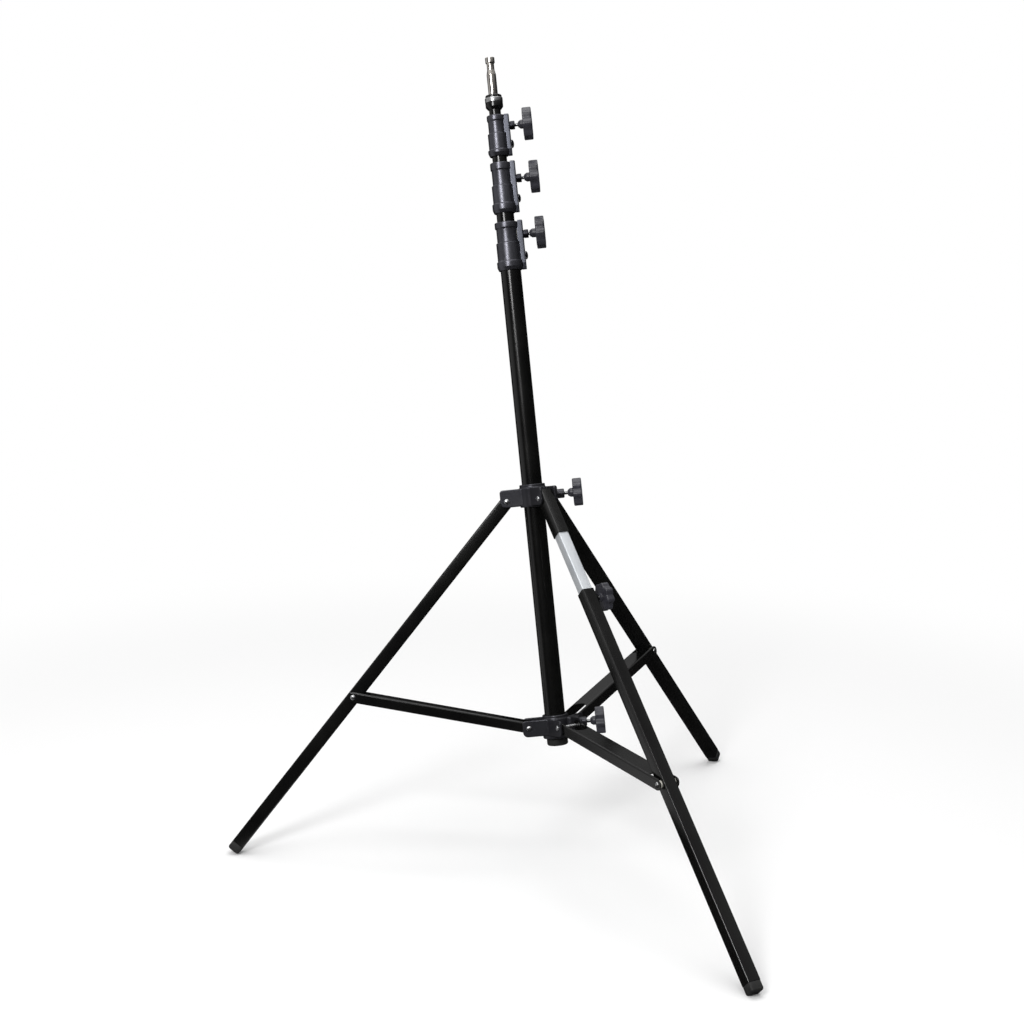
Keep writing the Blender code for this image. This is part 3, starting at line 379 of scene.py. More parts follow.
def zinc_plate(name, dark, light, low, high):
    material, tree, shader = new_surface(name, Metallic=1.0)
    place = coordinates(tree)
    spangle = grain(tree, place, 1.5, 4.0)
    wire(
        tree, shader,
        Base_Color=two_tone(tree, spangle, dark, light),
        Roughness=spread(tree, spangle, low, high),
        Normal=bump(tree, spangle, 0.02, 0.25),
    )
    return material


ZINC = zinc_plate("zinc_plated_steel", "#b9babb", "#d0d1d2", 0.22, 0.36)
BLACK_OXIDE = zinc_plate("black_oxide_steel", "#2c2c30", "#3b3b40", 0.34, 0.48)
NICKEL = turned_nickel("turned_nickel_plate", STAND)
DRAWN = drawn_zinc("drawn_zinc_plated_tube", LEG["front"])
print("made", ZINC.name, BLACK_OXIDE.name, NICKEL.name, DRAWN.name)

# %% [markdown]
# Most surfaces below are grids: rows of points along a profile, columns round it. One function
# lists the quads of such a grid, one turns a profile about Z, and one closes a grid's two ends with
# fans. Another puts the points in place, joins seams and poles, and makes the Blender object.
# A ring profile closes on itself, as the wall of a tube does. An open one starts and ends on the
# axis.

# %% Grids to meshes
def quads(rows, columns, wrap_rows=False, wrap_columns=True, first=0):
    """The four corners of each cell of a grid, whose rows or columns may close into a loop."""
    r = np.arange(rows if wrap_rows else rows - 1)[:, None]
    c = np.arange(columns if wrap_columns else columns - 1)[None, :]
    down, right = (r + 1) % rows, (c + 1) % columns
    cells = [r * columns + c, r * columns + right, down * columns + right, down * columns + c]
    return np.stack(np.broadcast_arrays(*cells), -1).reshape(-1, 4) + first


def turned(profile, columns=96, ring=False):
    """A profile of (radius, height) rows turned about Z: x = r cos t, y = r sin t, z = height."""
    profile = np.array(profile, float)
    t = np.linspace(0, 2 * np.pi, columns, endpoint=False)
    r, z = profile[:, :1], profile[:, 1:]
    points = np.stack([r * np.cos(t), r * np.sin(t), z + 0 * t], -1)
    return points.reshape(-1, 3), quads(len(profile), columns, wrap_rows=ring)


def capped(points, columns, first, last):
    """A grid of loops with its ends closed: fans from its first and last loop to two poles."""
    count = len(points)
    around = np.arange(columns)
    near = np.stack([around, (around + 1) % columns, np.full(columns, count)], -1)
    far = near + [count - columns, count - columns, 1]
    faces = quads(count // columns, columns).tolist() + near.tolist() + far.tolist()
    return np.concatenate([points, [first, last]]), faces


def rounded(corners, steps=5):
    """A chain of (x, y, radius) corners, each replaced by an arc that touches both its sides."""
    points = []
    for i, (x, y, radius) in enumerate(corners):
        here = np.array([x, y], float)
        inside = 0 < i < len(corners) - 1
        if radius == 0 or not inside:
            points.append(here)
            continue
        back = unit(np.array(corners[i - 1][:2]) - here)
        ahead = unit(np.array(corners[i + 1][:2]) - here)
        half = math.acos(np.clip(back @ ahead, -1, 1)) / 2
        centre = here + unit(back + ahead) * radius / math.sin(half)
        start = here + back * radius / math.tan(half) - centre
        end = here + ahead * radius / math.tan(half) - centre
        share = np.linspace(0, 1, steps + 1)[:, None]
        arc = start * (1 - share) + end * share
        points.extend(centre + radius * arc / np.linalg.norm(arc, axis=1)[:, None])
    return np.array(points)


def placed(points, place):
    return points @ place[:3, :3].T + place[:3, 3]


def joined(*shells):
    """Several (points, faces) shells as one."""
    count, points, faces = 0, [], []
    for shell_points, shell_faces in shells:
        points.append(shell_points)
        faces.extend((np.array(face) + count).tolist() for face in shell_faces)
        count += len(shell_points)
    return np.concatenate(points), faces


def build(name, shell, place, material, sharp=35.0):
    """A mesh object from a shell: placed, seams and poles merged, normals out, shaded smooth."""
    points, faces = shell
    mesh = bpy.data.meshes.new(name)
    mesh.from_pydata(placed(points, place).tolist(), [], [list(face) for face in faces])
    shape = bmesh.new()
    shape.from_mesh(mesh)
    bmesh.ops.remove_doubles(shape, verts=shape.verts, dist=1e-6)
    bmesh.ops.recalc_face_normals(shape, faces=shape.faces)
    shape.to_mesh(mesh)
    shape.free()
    mesh.shade_smooth()
    mesh.set_sharp_from_angle(angle=math.radians(sharp))
    obj = bpy.data.objects.new(name, mesh)
    bpy.context.scene.collection.objects.link(obj)
    mesh.materials.append(material)
    return obj


def piece(name, shell, place, material, body, slot, *nodes, sharp=35.0):
    """A finished piece that rides on a body and stands for its CAD nodes."""
    obj = build(name, shell, place, material, sharp)
    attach(obj, body)
    if nodes:
        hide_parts(*nodes)
    return obj


print("a turned test ring has", len(turned([(1, 1), (1, 0)], 96, ring=True)[1]), "faces")

# %% [markdown]
# The column is four drawn tubes, one inside the next: 35, 30, 25 and 20 mm across, with a wall of
# 1.5 mm. Each is a ring profile turned about the column's axis, with its ends broken by a small
# chamfer, as a tube is deburred after sawing. All four share the same powder coat.

# %% Column tubes
WALL = 1.5 * MM
BASE_R = 17.5 * MM
RISER_R = (15.0 * MM, 12.5 * MM, 10.0 * MM)
TUBE_R = (BASE_R, *RISER_R)
COLLAR_BOTTOM = (780.0 * MM, 878.0 * MM, 975.0 * MM)
COLLAR_HEIGHT = (84.0 * MM, 87.5 * MM, 70.5 * MM)
COLLAR_SEAT = 36.0 * MM
SPIGOT_BOTTOM = 1055.0 * MM
SPIGOT_SOCKET = 11.5 * MM
TUBE_SPAN = {
    "base_tube": (BASE_R, -22.7 * MM, COLLAR_BOTTOM[0] + COLLAR_SEAT, "column"),
    "riser_1_tube": (RISER_R[0], -1.0 * MM, COLLAR_BOTTOM[1] + COLLAR_SEAT, "riser_1"),
    "riser_2_tube": (RISER_R[1], 35.0 * MM, COLLAR_BOTTOM[2] + COLLAR_SEAT, "riser_2"),
    "riser_3_tube": (RISER_R[2], 71.0 * MM, SPIGOT_BOTTOM + SPIGOT_SOCKET, "riser_3"),
}


def tube_wall(radius, low, high, chamfer=0.3 * MM):
    """A tube's wall as a closed ring: outer side down, foot, inner side up, top."""
    inner = radius - WALL
    return turned([
        (radius - chamfer, high), (radius, high - chamfer), (radius, low + chamfer),
        (radius - chamfer, low), (inner, low), (inner, high),
    ], ring=True)


for node, (radius, low, high, body) in TUBE_SPAN.items():
    piece(node + "_drawn", tube_wall(radius, low, high), STAND, POWDER_BLACK, body,
          "satin_black", node)
    print(node, round(2000 * radius), "mm across,", round((high - low) * 1000), "mm long")

# %% [markdown]
# Each riser collar is a casting that grips the tube below at its foot and guides the riser at its
# mouth. Its side has four levels: a cap, a waist that the clamp plate's head sits on, a body one
# step wider, and a foot flange whose lower end is coned. Both the collar and the plate that saddles
# it need that outline, so it is kept once, as heights and radii. The collar rounds its corners:
# soft corners are what makes a casting read as cast.

# %% Riser collars
COLLARS = (("base", "column"), ("riser_1", "riser_1"), ("riser_2", "riser_2"))
CAP_R = (19.9 * MM, 17.5 * MM, 15.2 * MM)
WAIST_R = (18.0 * MM, 16.0 * MM, 13.9 * MM)
BODY_R = (20.3 * MM, 18.3 * MM, 16.2 * MM)
FLANGE_R = (22.2 * MM, 20.5 * MM, 18.3 * MM)
COLLAR_FALL = (1.8 * MM, 1.5 * MM, 0.5 * MM)
CAP_H = (9.5 * MM, 11.5 * MM, 8.5 * MM)
STEP_BELOW = (36.5 * MM, 40.0 * MM, 31.5 * MM)
FLANGE_H = (16.5 * MM, 17.0 * MM, 12.0 * MM)
CONE, CONE_H = 2.3 * MM, 6.0 * MM


def outline(level):
    """Corners (radius, height, rounding) of the collar's side, from its cap down to its cone."""
    bottom = COLLAR_BOTTOM[level]
    top = bottom + COLLAR_HEIGHT[level]
    step = top - STEP_BELOW[level]
    cap, waist, wide, foot = CAP_R[level], WAIST_R[level], BODY_R[level], FLANGE_R[level]
    mouth = top - COLLAR_FALL[level]
    return [
        (cap, mouth, 1.3 * MM), (cap, mouth - CAP_H[level], 0.9 * MM),
        (waist, mouth - CAP_H[level] - 2.0 * MM, 0.9 * MM), (waist, step + 0.7 * MM, 0.3 * MM),
        (wide, step - 0.7 * MM, 0.5 * MM), (wide, bottom + FLANGE_H[level], 0.6 * MM),
        (foot, bottom + FLANGE_H[level] - 1.8 * MM, 0.7 * MM), (foot, bottom + CONE_H, 1.4 * MM),
        (foot - CONE, bottom, 1.2 * MM),
    ]


def side_radius(level, height):
    """The collar's outer radius at a height, straight from corner to corner of its outline."""
    corners = np.array(outline(level))[::-1]
    return np.interp(height, corners[:, 1], corners[:, 0])


def collar_profile(level):
    bottom, side = COLLAR_BOTTOM[level], outline(level)
    tube, riser = TUBE_R[level] + 0.3 * MM, RISER_R[level] + 0.3 * MM
    mouth = side[0][1]
    chain = [(riser, mouth - 1.0 * MM, 0), (riser + 1.0 * MM, mouth, 0.2 * MM)] + side
    chain += [(tube, bottom, 0.3 * MM), (tube, bottom + COLLAR_SEAT, 0),
              (riser, bottom + COLLAR_SEAT, 0)]
    return rounded(chain, 4)


for level, (prefix, body) in enumerate(COLLARS):
    shell = turned(collar_profile(level), 128, ring=True)
    piece(prefix + "_collar_cast", shell, STAND, CAST_DARK, body, "cast_grey",
          prefix + "_collar", sharp=50)
    print(prefix, "collar", round(2000 * FLANGE_R[level], 1), "mm across its foot")

# %% [markdown]
# The clamp plate saddles the collar on the knob's side. It is wide at its head, steps in near the
# collar's own step and tapers to a tip. Its flat flank mirrors the soft box, which makes it stand
# out. A plate like this could be cut from a block with Booleans. Here it is one grid: at each
# height a closed loop follows the collar inside and a softly crowned face outside, and both its
# width and its face draw in at the ends, so that every edge is rounded.

# %% Clamp plates
PLATE_STAND = 10.0 * MM
PLATE_STEP_SHARE = 0.40
SKIN = 2.9 * MM
PLATE_HEAD, PLATE_STEM, PLATE_TIP = 9.5 * MM, 7.5 * MM, 4.0 * MM
PLATE_TAPER = 11.0 * MM
PLATE_EDGE = 1.3 * MM
PLATE_SQUARE, PLATE_CROWN = 0.22, 9.0


def plate_half_width(level, height):
    """Head width above the step, stem width below it, and a straight taper down to the tip."""
    bottom, tall = COLLAR_BOTTOM[level], COLLAR_HEIGHT[level]
    step = bottom + tall * (1 - PLATE_STEP_SHARE)
    ramp = np.clip((height - step) / (1.5 * MM) + 0.5, 0, 1)
    body = PLATE_STEM + (PLATE_HEAD - PLATE_STEM) * ramp * ramp * (3 - 2 * ramp)
    share = np.clip((height - bottom) / PLATE_TAPER, 0, 1)
    return np.minimum(body, PLATE_TIP + (PLATE_STEM - PLATE_TIP) * share)


def plate_surface(level, rows=120, columns=72):
    """For height h and loop angle t, a rounded rectangle whose inner side follows the collar.

    y = w sgn(cos t) |cos t|^q across, and a share s = (1 + sgn(sin t) |sin t|^q) / 2 from the
    saddle radius sqrt(R(h)^2 - y^2) out to the face, less a crown of y^2. Small q is square.
    """
    bottom, tall = COLLAR_BOTTOM[level], COLLAR_HEIGHT[level]
    lift = (1 - np.cos(np.linspace(0, np.pi, rows))) / 2
    h = (bottom + tall * lift)[:, None]
    t = np.linspace(0, 2 * np.pi, columns, endpoint=False)[None, :]
    end = np.minimum(h - bottom, bottom + tall - h)
    draw = PLATE_EDGE - np.sqrt(np.maximum(0, PLATE_EDGE**2 - np.maximum(0, PLATE_EDGE - end)**2))
    across = np.sign(np.cos(t)) * np.abs(np.cos(t))**PLATE_SQUARE
    y = (plate_half_width(level, h) - draw) * across
    share = (1 + np.sign(np.sin(t)) * np.abs(np.sin(t))**PLATE_SQUARE) / 2
    saddle = np.sqrt((side_radius(level, h) + 0.3 * MM)**2 - y**2)
    face = RISER_R[level] + SKIN + PLATE_STAND - draw - PLATE_CROWN * y**2
    x = saddle + (face - saddle) * share
    points = np.stack([x, y, h + 0 * t], -1).reshape(-1, 3)
    low_end, high_end = points[:columns].mean(axis=0), points[-columns:].mean(axis=0)
    return capped(points, columns, low_end, high_end)


for level, (prefix, body) in enumerate(COLLARS):
    made = piece(prefix + "_clamp_plate_cast", plate_surface(level), STAND, CAST_LIGHT, body,
                 "plate_grey", prefix + "_clamp_plate", sharp=50)
    print(made.name, len(made.data.polygons), "faces")

# %% [markdown]
# A black threaded boss stands on each plate and carries the screw. Below it, one fat domed rivet
# holds the plate. Both are turned about the screw's own direction, so they need a frame whose Z
# points outward from the column at their height.

# %% Bosses and plate rivets
SCREW_RISE = (60.0 * MM, 57.5 * MM, 51.0 * MM)
RIVET_RISE = (23.5 * MM, 23.5 * MM, 19.5 * MM)
BOSS_RISE = 8.5 * MM
Z_ALONG_X = np.array([[0, 0, 1, 0], [0, 1, 0, 0], [-1, 0, 0, 0], [0, 0, 0, 1.0]])


def outward(height):
    """A frame on the column's axis at a height, whose Z points out to the knobs."""
    return STAND @ shift(z=height) @ Z_ALONG_X


def dome(radius, rise, shoulder, steps=8):
    """The rows of a domed head: radius times sin t, and its rise times cos t over the shoulder."""
    t = np.linspace(0, np.pi / 2, steps)
    return np.stack([radius * np.sin(t), shoulder + rise * np.cos(t)], -1)


for level, (prefix, body) in enumerate(COLLARS):
    face = RISER_R[level] + SKIN + PLATE_STAND
    boss = rounded([
        (3.3 * MM, face + BOSS_RISE, 0), (7.3 * MM, face + BOSS_RISE, 1.0 * MM),
        (7.3 * MM, face + 1.2 * MM, 0.4 * MM), (6.7 * MM, face + 1.2 * MM, 0.2 * MM),
        (6.7 * MM, face, 0.2 * MM), (5.2 * MM, face, 0), (5.2 * MM, face - 4.0 * MM, 0),
        (3.3 * MM, face - 4.0 * MM, 0),
    ])
    piece(prefix + "_clamp_boss_turned", turned(boss, 64, ring=True),
          outward(COLLAR_BOTTOM[level] + SCREW_RISE[level]), BLACK_OXIDE, body, "satin_black",
          prefix + "_clamp_boss")
    head = np.concatenate([
        dome(7.2 * MM, 3.4 * MM, face + 0.8 * MM),
        [(7.2 * MM, face + 0.3 * MM), (2.5 * MM, face + 0.3 * MM),
         (2.5 * MM, TUBE_R[level] + 0.6 * MM), (0, TUBE_R[level] + 0.6 * MM)],
    ])
    piece(prefix + "_plate_rivet_domed", turned(head, 64),
          outward(COLLAR_BOTTOM[level] + RIVET_RISE[level]), BLACK_OXIDE, body, "satin_black",
          prefix + "_plate_rivet")
    print(prefix, "boss stands", round((face + BOSS_RISE) * 1000, 1), "mm out")

# %% [markdown]
# The knob is one moulding: an eight-lobed grip, and a short hub that ends in a cone. Take a
# round knob's profile and let its radius fall between the lobes. The fall is a cosine of the
# angle, and it fades out towards the axis, so the hub stays round while the rim waves.
# The outer face is dished, with a shallow ring round its middle, and all its edges are soft.

# %% Knobs
LOBES, LOBE_DEPTH = 8, 3.4 * MM
HUB_SIDE_R, HUB_TIP_R, HUB_CONE = 7.6 * MM, 4.6 * MM, 4.5 * MM


def knob_surface(radius, hub_tip, grip, thickness, bore=3.3 * MM, columns=192):
    """r(t, s) = r(s) - depth f(r) (1 - cos 8t) / 2, with f rising smoothly from hub to rim."""
    back, front = grip, grip + thickness
    cone = min(HUB_CONE, (back - hub_tip) / 2)
    chain = [
        (0, front - 1.8 * MM, 0), (0.26 * radius, front - 1.8 * MM, 0.8 * MM),
        (0.34 * radius, front - 0.6 * MM, 1.2 * MM), (0.52 * radius, front - 1.4 * MM, 3.0 * MM),
        (0.74 * radius, front, 2.0 * MM), (radius, front, 1.8 * MM), (radius, back, 1.8 * MM),
        (HUB_SIDE_R, back, 0.8 * MM), (HUB_SIDE_R, hub_tip + cone, 1.0 * MM),
        (HUB_TIP_R, hub_tip, 0.5 * MM), (bore, hub_tip, 0), (bore, grip + 10 * MM, 0),
        (0, grip + 10 * MM, 0),
    ]
    rows = rounded(chain, 6)
    flat = np.linspace(0, 1, 9)[1:-1, None]
    rim = np.flatnonzero(np.diff(rows[:, 1]) < -4 * MM)[0]
    rows = np.insert(rows, rim + 1, rows[rim] * (1 - flat) + rows[rim + 1] * flat, axis=0)
    r, z = rows[:, :1], rows[:, 1:]
    t = np.linspace(0, 2 * np.pi, columns, endpoint=False)[None, :]
    fade = np.clip((r - HUB_SIDE_R) / (radius - HUB_SIDE_R), 0, 1)
    fade = fade * fade * (3 - 2 * fade)
    wave = r - LOBE_DEPTH * fade * (1 - np.cos(LOBES * t)) / 2
    points = np.stack([wave * np.cos(t), wave * np.sin(t), z + 0 * t], -1)
    return points.reshape(-1, 3), quads(len(rows), columns)


# Radius, hub tip, grip and thickness in mm, then the joint that turns the knob and its body.
KNOBS = {
    "base": (27.5, 38.3, 49.0, 15.5, "base_knob_turn", "base_knob"),
    "riser_1": (27.5, 38.5, 48.2, 15.5, "riser_1_knob_turn", "riser_1_knob"),
    "riser_2": (27.5, 37.1, 45.5, 15.5, "riser_2_knob_turn", "riser_2_knob"),
    "lower_collar": (24.0, 59.5, 68.5, 15.5, "lower_knob_turn", "lower_knob"),
    "upper_collar": (24.0, 59.5, 68.5, 15.5, "upper_knob_turn", "upper_knob"),
    "levelling": (24.0, 19.0, 22.5, 13.5, "levelling_knob_turn", "levelling_knob"),
}
for prefix, (radius, tip, grip, thick, joint, body) in KNOBS.items():
    shell = knob_surface(radius * MM, tip * MM, grip * MM, thick * MM)
    made = piece(prefix + "_knob_moulded", shell, knob_frame(joint), NYLON_DARK, body,
                 "knob_grey", prefix + "_knob", sharp=60)
    print(made.name, len(made.data.polygons), "faces")

# %% [markdown]
# The screws carry a rolled thread, a millimetre from crest to crest. A thread is a cylinder whose
# radius rises and falls along its length, where the wave slips round by one pitch a turn. On a
# grid that is one line of arithmetic: the phase is height over pitch minus angle over a turn.

# %% Screws
PITCH = 1.0 * MM
# How far out on its axis each screw starts, in mm.
SCREW_TIPS = {"base": 17.5, "riser_1": 15.0, "riser_2": 11.9, "lower_collar": 17.8,
              "upper_collar": 17.8, "levelling": 9.5}


def screw_surface(low, high, radius=3.0 * MM, depth=0.45 * MM, columns=24):
    """r = R - depth |2 frac(z / pitch - t / 2 pi) - 1|, faded out at both ends of the screw."""
    rows = int((high - low) / PITCH * 6)
    z = np.linspace(high, low, rows)[:, None]
    t = np.linspace(0, 2 * np.pi, columns, endpoint=False)[None, :]
    wave = np.abs(2 * np.mod(z / PITCH - t / (2 * np.pi), 1) - 1)
    fade = np.clip(np.minimum(z - low, high - z) / PITCH, 0, 1)
    r = radius - depth * wave * fade - 0.4 * MM * (1 - fade)
    points = np.stack([r * np.cos(t), r * np.sin(t), z + 0 * t], -1).reshape(-1, 3)
    return capped(points, columns, (0, 0, high), (0, 0, low))


for prefix, (radius, tip, grip, thick, joint, body) in KNOBS.items():
    shell = screw_surface(SCREW_TIPS[prefix] * MM, (grip + 10.0) * MM)
    made = piece(prefix + "_screw_rolled", shell, knob_frame(joint), ZINC, body,
                 "bright_steel", prefix + "_screw", sharp=60)
    print(made.name, len(made.data.polygons), "faces")

# %% [markdown]
# The top of the column ends in the spigot: a black socket, a bright band pressed on it and the
# plated stud that lamps clamp on. The stud's waist keeps a clamped lamp from lifting off. All three
# are lathe work, so each is one profile, with the small radii that a tool nose leaves.

# %% Spigot
SOCKET_TOP = SPIGOT_BOTTOM + 25.0 * MM
STUD_TIP = SOCKET_TOP + 64.2 * MM
BAND = SPIGOT_BOTTOM + 12.0 * MM
socket = rounded([
    (5.3 * MM, SOCKET_TOP, 0), (13.9 * MM, SOCKET_TOP, 1.8 * MM),
    (13.9 * MM, BAND + 8.3 * MM, 0.4 * MM), (12.6 * MM, BAND + 8.3 * MM, 0),
    (12.6 * MM, BAND, 0.2 * MM), (15.0 * MM, BAND, 0.5 * MM),
    (15.0 * MM, BAND - 7.5 * MM, 1.0 * MM),
    (11.5 * MM, SPIGOT_BOTTOM, 0.3 * MM), (10.3 * MM, SPIGOT_BOTTOM, 0),
    (10.3 * MM, SPIGOT_BOTTOM + 11.8 * MM, 0), (5.3 * MM, SPIGOT_BOTTOM + 11.8 * MM, 0),
])
band = rounded([
    (12.9 * MM, BAND + 8.0 * MM, 0), (15.2 * MM, BAND + 8.0 * MM, 0.8 * MM),
    (15.2 * MM, BAND + 0.3 * MM, 0.8 * MM), (12.9 * MM, BAND + 0.3 * MM, 0),
])
neck = STUD_TIP - 9.0 * MM
stud = rounded([
    (0, STUD_TIP, 0), (8.0 * MM, STUD_TIP, 0.9 * MM), (8.0 * MM, neck, 0.4 * MM),
    (6.3 * MM, neck - 1.8 * MM, 0.8 * MM), (6.3 * MM, neck - 12.5 * MM, 3.0 * MM),
    (8.0 * MM, neck - 20.0 * MM, 2.0 * MM), (8.0 * MM, SOCKET_TOP + 0.3 * MM, 0.3 * MM),
    (5.0 * MM, SOCKET_TOP + 0.3 * MM, 0), (5.0 * MM, SOCKET_TOP - 12.0 * MM, 0),
    (0, SOCKET_TOP - 12.0 * MM, 0),
])
piece("spigot_socket_turned", turned(socket, ring=True), STAND, POWDER_BLACK, "riser_3",
      "satin_black", "spigot_socket")
piece("spigot_band_turned", turned(band, ring=True), STAND, ZINC, "riser_3", "bright_steel",
      "spigot_band")
piece("spigot_stud_turned", turned(stud), STAND, NICKEL, "riser_3", "chrome", "spigot_stud")
print("stud stands", round((STUD_TIP - SOCKET_TOP) * 1000, 1), "mm tall")

# %% [markdown]
# The two leg collars are the busiest castings: a hub round the tube, six cheeks that hold the legs
# or struts, and a block for the clamp screw. The parts of such a casting melt into each other
# with soft fillets. So each part is made as its own plain closed shell, the shells overlap, and a
# voxel remesh turns their outside into one skin. A few smoothing steps then round off every edge.

# %% Leg collars
HUB_R, RING_R, RING_H = 23.5 * MM, 22.0 * MM, 5.0 * MM
CHEEK = 3.8 * MM
CHEEK_REACH = PIVOT_RADIUS + 11.0 * MM
VOXEL = 0.75 * MM


def prism(outline, low, high):
    """A closed outline in x, y drawn out from low to high along z, with both ends filled."""
    outline = np.array(outline)
    count = len(outline)
    points = np.concatenate([np.c_[outline, np.full(count, z)] for z in (low, high)])
    faces = quads(2, count).tolist()
    faces += [np.arange(count)[::-1].tolist(), (np.arange(count) + count).tolist()]
    return points, faces


def clevis(level, low, high, half):
    """Two cheeks: an outline in the plane of the spoke, given its thickness across it."""
    middle = (BASE_R + HUB_R) / 2
    root = math.sqrt(middle**2 - (half + CHEEK / 2)**2)
    outline = rounded([
        (root, level + high, 0), (CHEEK_REACH, level + high, 5.0 * MM),
        (CHEEK_REACH, level + low, 8.5 * MM), (root, level + low, 0),
    ], 8)
    lay = np.array([[1, 0, 0, 0], [0, 0, 1, 0], [0, 1, 0, 0], [0, 0, 0, 1.0]])
    shells = [prism(outline, half, half + CHEEK), prism(outline, -half - CHEEK, -half)]
    return [(placed(points, lay), faces) for points, faces in shells]


def leg_collar_shell(level, bottom, top, cheek_low, cheek_high, half, screw):
    """Hub, cheeks, clamp block and screw boss as overlapping closed shells."""
    hub = rounded([
        (17.8 * MM, level + top, 0), (RING_R, level + top, 1.2 * MM),
        (RING_R, level + top - RING_H, 0.5 * MM),
        (HUB_R, level + top - RING_H - 1.5 * MM, 0.5 * MM),
        (HUB_R, level + bottom, 1.5 * MM), (17.8 * MM, level + bottom, 0),
    ])
    shells = [turned(hub, 96, ring=True)]
    for azimuth in LEG_AZIMUTHS.values():
        for points, faces in clevis(level, cheek_low, cheek_high, half):
            shells.append((placed(points, turn_z(azimuth)), faces))
    block = rounded([
        (19.0 * MM, -12.0 * MM, 0), (41.0 * MM, -12.0 * MM, 3.0 * MM),
        (41.0 * MM, 12.0 * MM, 3.0 * MM), (19.0 * MM, 12.0 * MM, 0),
    ], 6)
    shells.append(prism(block, level + screw - 10.5 * MM, level + screw + 10.5 * MM))
    boss = rounded([
        (0, 53.5 * MM, 0), (8.0 * MM, 53.5 * MM, 1.2 * MM), (8.0 * MM, 41.0 * MM, 0.6 * MM),
        (9.2 * MM, 40.0 * MM, 0), (9.2 * MM, 30.0 * MM, 0), (0, 30.0 * MM, 0),
    ])
    points, faces = turned(boss, 48)
    shells.append((placed(points, shift(z=level + screw) @ Z_ALONG_X), faces))
    return joined(*shells)


def cast_skin(obj):
    """One skin over overlapping shells: a voxel remesh, then smoothing, made part of the mesh."""
    remesh = obj.modifiers.new("skin", "REMESH")
    remesh.mode = "VOXEL"
    remesh.voxel_size = VOXEL
    remesh.use_smooth_shade = True
    soften = obj.modifiers.new("soften", "SMOOTH")
    soften.factor = 0.5
    soften.iterations = 5
    graph = bpy.context.evaluated_depsgraph_get()
    skin = bpy.data.meshes.new_from_object(obj.evaluated_get(graph))
    obj.modifiers.clear()
    obj.data = skin
    skin.shade_smooth()
    return len(skin.polygons)


# Level, bottom, top, foot and head of the cheeks, half the gap between them and the screw's
# height, in mm, then the body.
LEG_COLLARS = {
    "lower_collar": (0.0, -22.0, 18.0, -15.0, 12.6, 17.9, 1.0, "lower_collar"),
    "upper_collar": (388.2, -13.0, 25.8, -10.5, 19.7, 11.4, 5.0, "upper_collar"),
}
for name, (level, *sizes, body) in LEG_COLLARS.items():
    shell = leg_collar_shell(level * MM, *(size * MM for size in sizes))
    made = build(name + "_cast", shell, STAND, CAST_PAINTED_SHADE)
    faces = cast_skin(made)
    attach(made, body)
    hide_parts(name)
    print(made.name, faces, "faces")

# %% [markdown]
# Each strut is a strip of 2 mm steel folded into a channel, open underneath. Its closed side is
# cut back in a U where it meets the collar, and cut square where the leg passes through.
# It could be cut with Booleans. It is worked out as a grid instead: the points of the folded
# section run from one open edge over the top to the other, and each point has its own start and
# end along the strut. The ends of the walls are half circles about the pivots.

# %% Struts
STRUT_HALF, STRUT_HIGH, SHEET = 17.5 * MM, 9.0 * MM, 2.0 * MM
STRUT_NOTCH, STRUT_LEG_CUT, STRUT_LIP = 50.0 * MM, 28.0 * MM, 1.0 * MM
WALL_POINTS, TOP_POINTS = 14, 40


